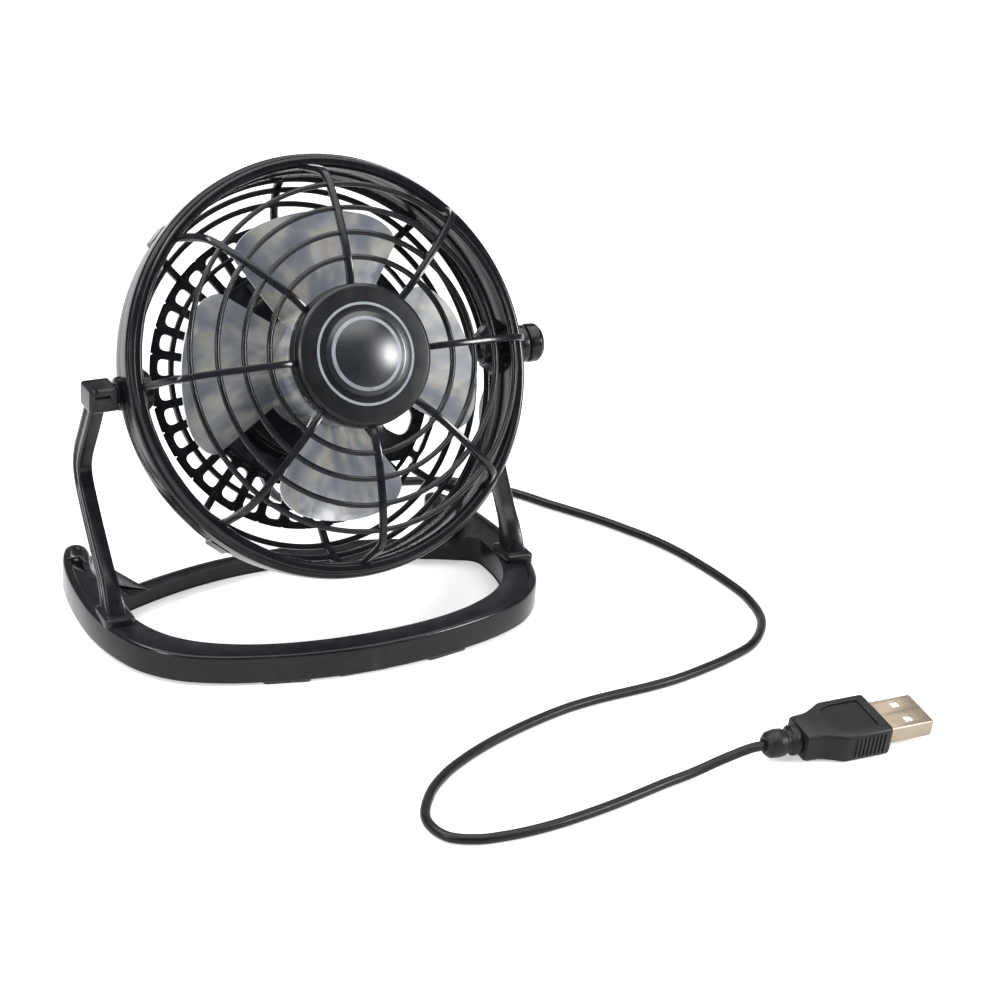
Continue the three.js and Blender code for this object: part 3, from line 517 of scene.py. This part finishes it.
RI, RO = 27.6, 40.0
for k in range(18):                       # the slotted half
    d = 95 + 10 * k
    cell(r_, d, d + 10, RI, RO, slot_outline(28.9, 38.2, d + 5, 2.9, 3.3, 1.5))
for k in range(4):                        # the open half: arcs between the struts
    t0, t1 = -85 + 45 * k, -40 + 45 * k
    cell(r_, t0, t1, 36.2, RO, slot_outline(37.0, 38.9, (t0 + t1) / 2, 21.0, 21.0, 0.9))
for k in range(5):
    t0, t1 = -85 + 36 * k, -49 + 36 * k
    cell(r_, t0, t1, 22.0, 36.2, slot_outline(25.6, 33.8, (t0 + t1) / 2 + (2.0 if k == 1 else 0), 8.6, 7.0, 3.6))
lathe(r_, [(22.0, PA0), (22.0, PA1), (RI, PA1), (RI, PA0)], 48, a0=95, a1=275)
lathe(r_, fillet([(34.0, PA0 + 0.1), (35.3, PA0 + 0.1), (35.3, PA1 + 0.5), (34.0, PA1 + 0.5)], 0.3, 2), 72, a0=96, a1=274)      # a hoop across the slots
lathe(r_, fillet([(27.0, PA1 - 0.1), (27.0, PA1 + 1.4), (28.2, PA1 + 1.4), (28.2, PA1 - 0.1)], 0.3, 2), 48, a0=95, a1=275)
lathe(r_, fillet([(4.2, -7.9), (4.2, -6.3), (21.4, -6.3), (22.5, -7.4), (22.5, -26.0), (20.9, -26.0), (20.9, -7.9)], [0.1, 0.3, 0.8, 0.8, 0.2, 0.2, 0.3], 3), 96)
for i in range(8):                        # small webs between the housing and the plate
    th = (i + 0.5) * math.pi / 4
    c, s = math.cos(th), math.sin(th)
    sweep(r_, np.array([[22.2 * c, 22.2 * s, -12.0], [24.6 * c, 24.6 * s, -14.0], [27.2 * c, 27.2 * s, -15.4]]), [(-0.6, -0.9), (0.6, -0.9), (0.6, 0.9), (-0.6, 0.9)], (s, -c, 0))
for d in (45, 135, 230, 310):             # snap latches on the rim
    t = math.radians(d)
    c, s = math.cos(t), math.sin(t)
    sweep(r_, np.array([[53.0 * c, 53.0 * s, a] for a in (-2.6, -2.2, 0.5, 2.7)]), fillet([(-3.2, -0.9), (3.2, -0.9), (2.7, 1.15), (-2.7, 1.15)], 0.4, 2), (s, -c, 0), [(1, 0.4), (1, 1), (1, 1), (1, 1)])
for s in (-1, 1):                         # pivot bosses and their gussets
    prof = fillet([(2.7, 45.9), (4.3, 45.9), (4.3, 54.6), (2.7, 54.6)], [0.1, 0.5, 0.4, 0.1], 3)
    b = Shape()
    lathe(b, prof, 32)
    bv = b.v[0][:, [2, 0, 1]] * np.array([s, 1, 1])
    bv[:, 2] = np.where(np.abs(bv[:, 0]) > 49.6, np.minimum(bv[:, 2], 2.95), bv[:, 2])
    r_.add(bv, b.f)
    for q in (-1, 1):
        sweep(r_, np.array([[s * 46.4, q * 3.6, -0.4], [s * 48.2, q * 5.2, -0.4], [s * 50.2, q * 7.6, -0.4]]), [(-0.5, -2.4), (0.5, -2.4), (0.5, 2.4), (-0.5, 2.4)], (s, -q, 0))
r_.make("shell_rear", headp, [GUARD], "head", replaces=["rear_shell"], angle=40)

# ------------------------------------------------------------------ impeller
im = Shape()
lathe(im, fillet([(1.3, 0.6), (1.3, 15.0), (8.5, 15.0), (12.2, 15.6), (14.4, 15.2), (15.8, 13.2), (15.8, -2.0), (14.5, -2.0), (14.5, 13.2), (13.4, 14.0), (3.4, 13.8), (3.4, 0.6)],
                 [0, .2, .6, .8, 1.2, 1.2, .3, .3, .6, .6, .3, .2], 3), 96)
for b0 in (87.5, 177.5, 267.5, 357.5):
    NR, NT = 22, 36
    rows_t, rows_b = [], []
    for i in range(NR + 1):
        u = i / NR
        for j in range(NT + 1):
            t = 0.5 - 0.5 * math.cos(math.pi * j / NT)
            tip = 39.6
            if t < 0.24:
                tip = 34.0 + 5.6 * math.sqrt(max(0.0, 1 - ((0.24 - t) / 0.24) ** 2))
            elif t > 0.72:
                tip = 34.4 + 5.2 * math.sqrt(max(0.0, 1 - ((t - 0.76) / 0.24) ** 2))
            r = 15.2 + (tip - 15.2) * u
            ang = math.radians(b0 + (t - 0.5) * 67.0)
            a = 6.0 - 14.0 * (t - 0.5) + 0.9 * math.sin(math.pi * t) * (0.4 + 0.6 * u)
            th = 0.60 - 0.22 * u
            rim = 1.0 - 0.5 * max(0.0, (abs(2 * t - 1) - 0.9) / 0.1)
            rows_t.append((r * math.cos(ang), r * math.sin(ang), a + th * rim))
            rows_b.append((r * math.cos(ang), r * math.sin(ang), a - th * rim))
    W, O = NT + 1, len(rows_t)
    faces, sidef = [], []
    for i in range(NR):
        for j in range(NT):
            p = i * W + j
            faces.append((p, p + W, p + W + 1, p + 1))
            faces.append((O + p, O + p + 1, O + p + W + 1, O + p + W))
    for j in range(NT):
        sidef.append((j, j + 1, O + j + 1, O + j))
        q = NR * W + j
        sidef.append((q, O + q, O + q + 1, q + 1))
    for i in range(NR):
        p, q = i * W, i * W + NT
        sidef.append((p, O + p, O + p + W, p + W))
        sidef.append((q, q + W, O + q + W, O + q))
    im.add(rows_t + rows_b, faces + sidef)
    # the side faces take the pale edge material, a painted highlight for the blades' lit edges
    im.m[-len(sidef):] = [1] * len(sidef)
im_o = im.make("impeller_smoke", headp, [BLADE, BLADE_EDGE_PAINTED_HIGHLIGHT], "rotor", replaces=["impeller"], angle=45)
uv = im_o.data.uv_layers.new(name="out")
for lp in im_o.data.loops:
    p = im_o.data.vertices[lp.vertex_index].co / MM
    y, z = p.y - OY, p.z - PZ
    px_, py_ = p.x, y * ST + z * CT
    uv.data[lp.index].uv = (math.atan2(py_, px_) * 2.6, math.hypot(px_, py_) / 20.0)

# ------------------------------------------------------------------ hub badge
HUB_MAT = bpy.data.materials.new("hub_face")
HUB_MAT.use_nodes = True
nt = HUB_MAT.node_tree
bs = nt.nodes["Principled BSDF"]
co = nt.nodes.new("ShaderNodeTexCoord").outputs["Object"]
cr = ramp(nt, [(0.3, (0.0016, 0.0017, 0.0024)), (0.7, (0.0040, 0.0043, 0.0060))], 0, 0)
nt.links.new(noise(nt, co, 60, 4), cr.inputs["Fac"])
nt.links.new(cr.outputs["Color"], bs.inputs["Base Color"])
nt.links.new(maprange(nt, noise(nt, co, 220, 5), 0.26, 0.36), bs.inputs["Roughness"])
bs.inputs["Specular IOR Level"].default_value = 0.22
bp = nt.nodes.new("ShaderNodeBump")
bp.inputs["Strength"].default_value = 0.05
bp.inputs["Distance"].default_value = 0.0002
nt.links.new(noise(nt, co, 1900, 2), bp.inputs["Height"])
nt.links.new(bp.outputs["Normal"], bs.inputs["Normal"])
DOME = surface("hub_dome", (0.0030, 0.0040, 0.0056), (0.0055, 0.0070, 0.0095), (0.26, 0.33), 2200, 0.02, spec=0.55)
SILVER = surface("silver_print", (0.10, 0.11, 0.125), (0.15, 0.165, 0.18), (0.4, 0.55), 3000, 0.05, metal=0.2, cloud=400)
hb = Shape()
hp = fillet([(0.01, 27.2), (1.9, 27.2), (1.9, 29.2), (17.6, 29.2), (17.7, 30.9), (16.9, 31.55), (12.9, 31.6)], [0, .1, .2, .3, .5, .5, 0], 3, closed=False)
lathe(hb, hp, 128, closed=False)
lathe(hb, [(12.9, 31.6), (12.25, 31.62)], 128, closed=False, mat=2)
lathe(hb, [(12.25, 31.62), (10.6, 31.66)], 128, closed=False)


def crown(r):
    return 31.66 + 2.0 * (1 - (r / 10.6) ** 2)


for r0, r1, mi in ((10.6, 9.3, 1), (9.3, 8.4, 2), (8.4, 0.02, 1)):
    n_ = max(3, int((r0 - r1) / 0.45))
    lathe(hb, [(r, crown(r)) for r in np.linspace(r0, r1, n_ + 1)], 128, closed=False, mat=mi)
hb.make("badge_hub", headp, [HUB_MAT, DOME, SILVER], "head", replaces=["hub_badge"], angle=30)

# ------------------------------------------------------------------ stand: base ring
half = [(0, -42.0), (9.2, -41.5), (18.4, -40.4), (28.2, -38.4), (38.9, -35.2), (48.6, -30.2), (55.8, -22.4), (59.8, -12.0), (61.4, -1.0), (61.3, 9.5), (60.2, 20.5), (58.2, 30.0), (56.4, 34.6)]
EAR = [(54.9, 37.0), (52.7, 37.9), (50.8, 37.1), (49.7, 34.6), (50.3, 30.6), (51.6, 26.3), (52.6, 21.0)]
half_in = [(0, -35.6), (8.3, -35.3), (16.8, -34.4), (25.6, -32.6), (34.2, -29.6), (42.4, -24.9), (48.6, -18.2), (52.2, -9.6), (53.4, 0.0), (52.4, 6.8)]
rail_f = [(48.0, 9.4), (40, 12.9), (30, 16.4), (20, 18.8), (10, 20.2), (0, 20.6)]
rail_b = [(0, 24.4), (10, 24.0), (20, 22.8), (30, 20.5), (38, 18.1), (44.5, 15.9), (49.4, 15.0)]


def mirrored(pts):
    return [(-x, y) for x, y in pts]


def smooth_loop(pts, count):
    P = np.array(pts, float)
    P = np.vstack([P, P[:1]])
    return catmull(P, count + 1)[:-1]


right_out = half + EAR + [(52.2, 16.8)] + rail_b[::-1]
right_in = half_in + rail_f
N_OUT, N_IN = 150, 120
ro, ri = catmull(np.array(right_out), N_OUT), catmull(np.array(right_in), N_OUT)
ro[0, 0] = ro[-1, 0] = ri[0, 0] = ri[-1, 0] = 0.0


def pair_up(inner, outer):
    """Spreads the inner outline's points so that each faces its outer one."""
    s = np.concatenate([[0], np.cumsum(np.linalg.norm(np.diff(inner, axis=0), axis=1))])
    out, last = [], 0.0
    dense = np.stack([np.interp(np.linspace(0, s[-1], 1200), s, inner[:, k]) for k in (0, 1)], 1)
    u = np.linspace(0, s[-1], 1200)
    for p in outer:
        d = np.hypot(dense[:, 0] - p[0], dense[:, 1] - p[1])
        d[u < last] = 1e9
        d[u > last + 9] = 1e9
        i = int(np.argmin(d))
        last = max(last, u[i])
        out.append(dense[i])
    out = np.array(out)
    out[0], out[-1] = inner[0], inner[-1]
    k = np.array([1, 2, 3, 2, 1], float) / 9
    for _ in range(6):
        sm = out.copy()
        for c in (0, 1):
            sm[2:-2, c] = np.convolve(out[:, c], k, "valid")
        out = sm
    # put the smoothed points back on the outline
    for i, p in enumerate(out):
        d = np.hypot(dense[:, 0] - p[0], dense[:, 1] - p[1])
        out[i] = dense[int(np.argmin(d))]
    out[0], out[-1] = inner[0], inner[-1]
    return out


ri2 = pair_up(ri, ro)
full_out = np.vstack([ro, (ro * [-1, 1])[::-1][1:-1]])
full_in = np.vstack([ri2, (ri2 * [-1, 1])[::-1][1:-1]])
n_o = outline_normals(full_out)


def in_normals(P):
    e = np.roll(P, -1, 0) - np.roll(P, 1, 0)
    L = np.linalg.norm(e, axis=1)
    L[L < 1e-6] = 1
    e /= L[:, None]
    area = 0.5 * np.sum(P[:, 0] * np.roll(P[:, 1], -1) - np.roll(P[:, 0], -1) * P[:, 1])
    n = np.stack([e[:, 1], -e[:, 0]], 1) * (1 if area > 0 else -1)
    return n


n_i = -in_normals(full_in)        # points into the bar, away from the opening
base = Shape()


def top_height(x, y):
    """The rear rail is lower than the sides and front."""
    t = np.clip((np.abs(x) - 45.0) / 6.0, 0, 1)
    t = t * t * (3 - 2 * t)
    rear = np.where(y > 8.0, 1.0, 0.0)
    return 8.6 - rear * (1 - t) * 3.2


Z0 = 0.9
B = 1.0
rows = []
for k in range(4):                                     # outer bottom edge up to the wall
    t = math.pi / 2 * k / 3
    rows.append((full_out - n_o * 0.5 * (1 - math.sin(t)), lambda h, t=t: Z0 + 0.5 * (1 - math.cos(t))))
for k in range(6):                                     # outer top edge, rounded
    t = math.pi / 2 * k / 5
    rows.append((full_out - n_o * B * (1 - math.cos(t)), lambda h, t=t: h - B * (1 - math.sin(t))))
rows.append((full_out - n_o * 2.0, lambda h: h + 0.0))
rows.append((full_out - n_o * 2.25, lambda h: h - 0.28))   # a fine step runs along the top
for k in range(5):
    t = math.pi / 2 * (1 - k / 4)
    rows.append((full_in + n_i * 0.7 * (1 - math.cos(t)), lambda h, t=t: h - 0.28 - 0.7 * (1 - math.sin(t))))
rows.append((full_in, lambda h: Z0 + 0.3))
rows.append((full_in + n_i * 0.3, lambda h: Z0))
nn = len(full_out)
verts = []
for P, zf in rows:
    h = top_height(P[:, 0], P[:, 1])
    verts += [(P[j, 0], P[j, 1], zf(h[j])) for j in range(nn)]
R = len(rows)
faces = [(i * nn + j, i * nn + (j + 1) % nn, (i + 1) * nn + (j + 1) % nn, (i + 1) * nn + j) for i in range(R - 1) for j in range(nn)]
faces += [((R - 1) * nn + j, (R - 1) * nn + (j + 1) % nn, (j + 1) % nn, j) for j in range(nn)]
base.add(verts, faces)
for s in (-1, 1):
    for (x0, y0, x1, y1) in ((53.6, 29.6, 57.2, 29.2), (53.6, 29.6, 53.4, 25.4)):      # raised L marks on the ears
        p = np.array([[s * x0, y0, 8.62], [s * x1, y1, 8.62]])
        sweep(base, p, fillet([(-0.35, -0.3), (0.35, -0.3), (0.35, 0.28), (-0.35, 0.28)], 0.15, 2), (-(y1 - y0), s * (x1 - x0), 0))
prism(base, fillet([(-9, -40.6), (5, -40.6), (5, -37.4), (-9, -37.4)], 0.8, 3), 0.2, 1.4, round_edge=0.2, steps=2)
base_o = base.make("base_ring", design, [BLACK], "stand", replaces=["stand_base"], angle=38)

# ------------------------------------------------------------------ stand: arms
ARM = [(-6.4, 3.6), (-5.8, 9.0), (-3.2, 14.8), (1.4, 20.6), (6.4, 26.6), (11.2, 32.8), (14.4, 37.8), (15.6, 41.8), (14.3, 46.4), (10.8, 52.4), (6.6, 59.0), (3.2, 65.0)]
AX = [56.6, 56.7, 56.9, 57.1, 57.3, 57.5, 57.7, 57.8, 58.0, 58.2, 58.5, 58.7]
for s, nm in ((-1, "left"), (1, "right")):
    a_ = Shape()
    path = catmull(np.array([(s * x, y, z) for x, (y, z) in zip(AX, ARM)]), 60)
    tt = np.linspace(0, 1, 60)
    sc = [(1.5 - 0.5 * min(1, t / 0.22), 1.5 - 0.5 * min(1, t / 0.24)) for t in tt]
    # ridged section: a raised band with a groove on each side of the outer face
    outl = [(-1.8, -2.45), (1.6, -2.45), (2.05, -1.9), (2.05, -0.95), (1.55, -0.65), (1.55, 0.65), (2.05, 0.95), (2.05, 1.9), (1.6, 2.45), (-1.8, 2.45)]
    outl = [(x * s, y) for x, y in outl]
    sweep(a_, path, fillet(outl, 0.35, 2), (1, 0, 0), sc)
    # foot collar where the arm meets the ring
    col = fillet([(s * 56.6 - 3.9, -11.4), (s * 56.6 + 3.9, -11.4), (s * 56.6 + 3.9, -1.4), (s * 56.6 - 3.9, -1.4)], 1.4, 4)
    prism(a_, col, 7.4, 10.4, round_edge=0.6)
    if s < 0:
        blk = Shape()
        out2 = fillet([(-62.7, PZ - 3.1), (-55.2, PZ - 3.1), (-55.2, PZ + 3.2), (-62.7, PZ + 3.2)], 0.9, 4)
        blk_pts = [(x, z) for x, z in out2]
        n = len(blk_pts)
        ys = [-3.7, -3.2, 3.4, 3.9]
        ins = [0.45, 0, 0, 0.45]
        cx, cz = -59.2, PZ
        vv = []
        for y, q in zip(ys, ins):
            for x, z in blk_pts:
                vv.append((x - q * np.sign(x - cx), y, z - q * np.sign(z - cz)))
        ff = [(i * n + j, i * n + (j + 1) % n, (i + 1) * n + (j + 1) % n, (i + 1) * n + j) for i in range(3) for j in range(n)]
        # front face carries a recessed sight slot
        sl = fillet([(-60.4, PZ - 2.1), (-57.0, PZ - 2.1), (-57.0, PZ - 0.6), (-60.4, PZ - 0.6)], 0.3, 2)
        ff.append(tuple((n * 3 + j) for j in range(n)))
        ff.append(tuple(reversed(range(n))))
        a_.add(vv, ff)
    else:
        b = Shape()
        lathe(b, fillet([(2.75, 55.2), (5.1, 55.2), (5.1, 58.4), (2.75, 58.4)], [0.1, 0.5, 0.4, 0.1], 3), 48)
        bv = b.v[0][:, [2, 0, 1]]
        bv[:, 2] += PZ
        a_.add(bv, b.f)
    o = a_.make("arm_" + nm, design, [BLACK], "stand", replaces=[nm + "_arm"], angle=38)
    if s < 0:
        # cut the slot right through the block's front
        cut = Shape()
        prism(cut, fillet([(-61.4, 0.7), (-57.4, 0.7), (-57.4, 1.6), (-60.6, 1.6), (-60.6, 4.2), (-61.4, 4.2)], 0.2, 3), -6, -3.0)
        cv = cut.v[0]
        cv2 = np.stack([cv[:, 0], cv[:, 2], cv[:, 1] + PZ], 1)
        cut.v[0] = cv2
        c_o = cut.make("cutter", design, [BLACK], None)
        md = o.modifiers.new("slot", "BOOLEAN")
        md.operation, md.solver, md.object = "DIFFERENCE", "EXACT", c_o
        bake(o)
        smooth(o, 38)
        bpy.data.objects.remove(c_o, do_unlink=True)

# rubber pads set under the ring
for nm, x, y, w_, h_, turn in (("foot_front_left", -22, -36.9, 6.2, 2.0, -12), ("foot_front_right", 22, -36.9, 6.2, 2.0, 12), ("foot_rear_left", -55.2, 27, 2.6, 5.2, -8), ("foot_rear_right", 55.2, 27, 2.6, 5.2, 8)):
    ft = Shape()
    c, s = math.cos(math.radians(turn)), math.sin(math.radians(turn))
    out = [(x + p[0] * c - p[1] * s, y + p[0] * s + p[1] * c) for p in fillet([(-w_, -h_), (w_, -h_), (w_, h_), (-w_, h_)], 1.4, 5)]
    prism(ft, out, 0.0, 0.88, round_edge=0.2, steps=2)
    ft.make("pad_" + nm[5:], design, [RUBBER], "stand", replaces=[nm])

# pivot pieces
kn = Shape()
lathe(kn, fillet([(0.01, 46.6), (2.35, 46.6), (2.35, 58.75), (4.9, 58.75), (5.2, 59.5), (5.2, 61.6), (4.4, 62.8), (0.01, 63.15)], [0, .3, .1, .3, .5, .7, .9, 0], 4, closed=False), 64, closed=False)
kn.v[0] = kn.v[0][:, [2, 0, 1]]
kn.make("knob_tilt", headp, [BLACK], "head", replaces=["tilt_knob"], angle=40)

# ------------------------------------------------------------------ plug
pg = Shape()


def rrect(hw, hh, rad, n=4):
    return fillet([(-hw, -hh), (hw, -hh), (hw, hh), (-hw, hh)], rad, n)


def loft(sh, stations, mat=0, close_start=True, close_end=True):
    """Stations of (x, outline) joined along the plug's length."""
    k = len(stations[0][1])
    verts = [(x, y, z) for x, o in stations for y, z in o]
    faces = [(i * k + j, i * k + (j + 1) % k, (i + 1) * k + (j + 1) % k, (i + 1) * k + j) for i in range(len(stations) - 1) for j in range(k)]
    if close_start:
        faces.append(tuple(range(k)))
    if close_end:
        faces.append(tuple((len(stations) - 1) * k + j for j in reversed(range(k))))
    sh.add(verts, faces, mat)


st = []
for x, hw, hh, rad in ((0.0, 7.2, 3.3, 1.0), (-0.15, 7.55, 3.65, 1.1), (-0.5, 7.85, 3.9, 1.2), (-1.0, 7.95, 3.95, 1.2), (-12.8, 7.95, 3.95, 1.2), (-13.6, 7.75, 3.95, 1.3), (-14.6, 7.2, 3.93, 1.4), (-17.6, 5.75, 3.9, 1.5), (-18.6, 5.4, 3.9, 1.5), (-19.4, 5.25, 3.88, 1.5), (-22.2, 5.1, 3.85, 1.5), (-22.8, 4.9, 3.7, 1.4), (-23.0, 4.4, 3.3, 1.3)):
    st.append((x, rrect(hw, hh, rad)))
loft(pg, st, close_start=False)
face = rrect(7.2, 3.3, 1.2)
hole = rrect(6.25, 2.5, 0.6)
k = len(face)
pg.add([(0.0, y, z) for y, z in face] + [(0.0, y, z) for y, z in hole] + [(-1.2, y, z) for y, z in hole], [(j, (j + 1) % k, k + (j + 1) % k, k + j) for j in range(k)] + [(k + j, k + (j + 1) % k, 2 * k + (j + 1) % k, 2 * k + j) for j in range(k)])
for sgn in (-1, 1):
    for i in range(8):                     # ribbed grips on both sides near the metal end
        x = -2.2 - i * 1.15
        sweep(pg, np.array([[x, sgn * 7.75, -2.9], [x, sgn * 8.02, -2.4], [x, sgn * 8.02, 2.4], [x, sgn * 7.75, 2.9]]), fillet([(-0.3, -0.3), (0.3, -0.3), (0.3, 0.22), (-0.3, 0.22)], 0.12, 2), (1, 0, 0))
pg_o = pg.make("plug_body", plugp, [SOFT], "stand", replaces=["plug_grip"], angle=38)
# recessed panels on the top and bottom faces
for sgn in (-1, 1):
    c_ = Shape()
    prism(c_, fillet([(-14.6, -4.4), (-11.6, -5.6), (-3.0, -5.6), (-3.0, 5.6), (-11.6, 5.6), (-14.6, 4.4)], 0.8, 4), 3.55 if sgn > 0 else -4.6, 4.6 if sgn > 0 else -3.55)
    c_o = c_.make("cutter", plugp, [SOFT], None)
    md = pg_o.modifiers.new("panel", "BOOLEAN")
    md.operation, md.solver, md.object = "DIFFERENCE", "EXACT", c_o
    bake(pg_o)
    bpy.data.objects.remove(c_o, do_unlink=True)
smooth(pg_o, 38)
sr = Shape()
sp = fillet([(1.6, -23.3), (3.8, -23.3), (3.85, -25.0), (2.9, -25.8), (2.9, -26.7), (3.45, -27.3), (3.6, -29.0), (3.3, -31.2), (2.3, -32.3), (1.6, -32.3)], [0, .5, .6, .4, .4, .5, 1.0, 1.2, .6, 0], 4)
lathe(sr, sp, 48)
sr.v[0] = sr.v[0][:, [2, 0, 1]]
sr.make("plug_bead", plugp, [SOFT], "stand", replaces=["plug_strain_relief"], angle=45)
sh_ = Shape()
o1, i1_ = rrect(6.0, 2.25, 0.55, 4), rrect(5.68, 1.93, 0.35, 4)
stations = [(-0.9, o1), (12.9, o1), (13.2, rrect(5.85, 2.1, 0.45, 4)), (13.15, i1_), (-0.9, i1_)]
loft(sh_, stations, close_start=False, close_end=False)
shell_o = sh_.make("plug_metal", plugp, [NICKEL], "stand", replaces=["plug_shell"], angle=35)
for sgn in (-1, 1):
    c_ = Shape()
    prism(c_, fillet([(6.0, sgn * 3.1 - 1.15), (8.4, sgn * 3.1 - 1.15), (8.4, sgn * 3.1 + 1.15), (6.0, sgn * 3.1 + 1.15)], 0.15, 2), -3.2, 3.2)
    c_o = c_.make("cutter", plugp, [NICKEL], None)
    md = shell_o.modifiers.new("hole", "BOOLEAN")
    md.operation, md.solver, md.object = "DIFFERENCE", "EXACT", c_o
    bake(shell_o)
    bpy.data.objects.remove(c_o, do_unlink=True)
c_ = Shape()                               # the rolled shell's seam, open as a hairline
prism(c_, [(-1.0, -0.07), (14.0, -0.07), (14.0, 0.07), (-1.0, 0.07)], 2.12, 2.6)
c_o = c_.make("cutter", plugp, [NICKEL], None)
md = shell_o.modifiers.new("seam", "BOOLEAN")
md.operation, md.solver, md.object = "DIFFERENCE", "EXACT", c_o
bake(shell_o)
bpy.data.objects.remove(c_o, do_unlink=True)
smooth(shell_o, 35)

# ------------------------------------------------------------------ CAD nodes that stay, with real materials
FINISH = {
    "motor_can": STEEL, "motor_shaft": STEEL, "armature_core": STEEL, "cover_screw_left": STEEL, "cover_screw_right": STEEL,
    "motor_end_cap": NYLON, "plug_tongue": NYLON, "bushing_front": BRONZE, "bushing_rear": BRONZE,
    "magnet_upper": FERRITE, "magnet_lower": FERRITE, "brush_left": COPPER, "brush_right": COPPER, "commutator": COPPER,
    "rear_cover": COVER, "switch_body": COVER, "switch_rocker": GUARD, "cord_gland": SOFT, "left_pivot_pin": GUARD,
}
for n, o in nodes.items():
    if n.startswith("plug_contact"):
        FINISH[n] = GOLD
for n, mt in FINISH.items():
    o = nodes[n]
    o.data.materials.clear()
    o.data.materials.append(mt)
    o.data.polygons.foreach_set("use_smooth", [True] * len(o.data.polygons))
    o.data.set_sharp_from_angle(angle=math.radians(32))

# ------------------------------------------------------------------ floor and light
fl = bpy.data.meshes.new("floor")
fl.from_pydata([(-4, -4, 0), (4, -4, 0), (4, 4, 0), (-4, 4, 0)], [], [(0, 1, 2, 3)])
floor = bpy.data.objects.new("floor", fl)
bpy.context.scene.collection.objects.link(floor)
FM = bpy.data.materials.new("floor_white")
FM.use_nodes = True
nt = FM.node_tree
bs = nt.nodes["Principled BSDF"]
co = nt.nodes.new("ShaderNodeTexCoord").outputs["Object"]
cr = ramp(nt, [(0.3, (0.64, 0.64, 0.64)), (0.7, (0.67, 0.67, 0.67))], 0, 0)
nt.links.new(noise(nt, co, 6, 3), cr.inputs["Fac"])
nt.links.new(cr.outputs["Color"], bs.inputs["Base Color"])
bs.inputs["Roughness"].default_value = 0.7
bs.inputs["Specular IOR Level"].default_value = 0.2
fl.materials.append(FM)

world = bpy.data.worlds.new("studio")
bpy.context.scene.world = world
world.use_nodes = True
bg = world.node_tree.nodes["Background"]
bg.inputs["Color"].default_value = (1.0, 1.0, 1.0, 1)
bg.inputs["Strength"].default_value = 0.16


def area(name, loc, target, size, power, color=(1, 1, 1)):
    d = bpy.data.lights.new(name, "AREA")
    d.shape, d.size, d.size_y = "RECTANGLE", size[0], size[1]
    d.energy, d.color = power, color
    o = bpy.data.objects.new(name, d)
    bpy.context.scene.collection.objects.link(o)
    o.location = loc
    o.rotation_mode = "QUATERNION"
    o.rotation_quaternion = (Vector(target) - Vector(loc)).to_track_quat("-Z", "Y")
    return o


area("key_right", (0.80, -0.66, 0.44), (0, 0, 0.067), (0.26, 0.26), 13.0)
area("key_left", (-0.95, -0.38, 0.50), (0, 0, 0.06), (0.15, 0.50), 8.0)
area("rim_left", (-0.55, 0.25, 0.95), (0, 0, 0.06), (0.5, 0.12), 6.0)
area("top", (0.0, 0.0, 1.5), (0, 0, 0), (2.2, 2.2), 14.0)
area("back_low", (0.58, 1.05, 0.17), (0, -0.05, 0.02), (1.1, 0.12), 2.2)
soft = area("top_fill", (0.0, 0.0, 1.52), (0, 0, 0), (2.2, 2.2), 60.0)
soft.data.use_shadow = False

vs = bpy.context.scene.view_settings
vs.view_transform = "Standard"
vs.look = "None"
vs.exposure = 0.0
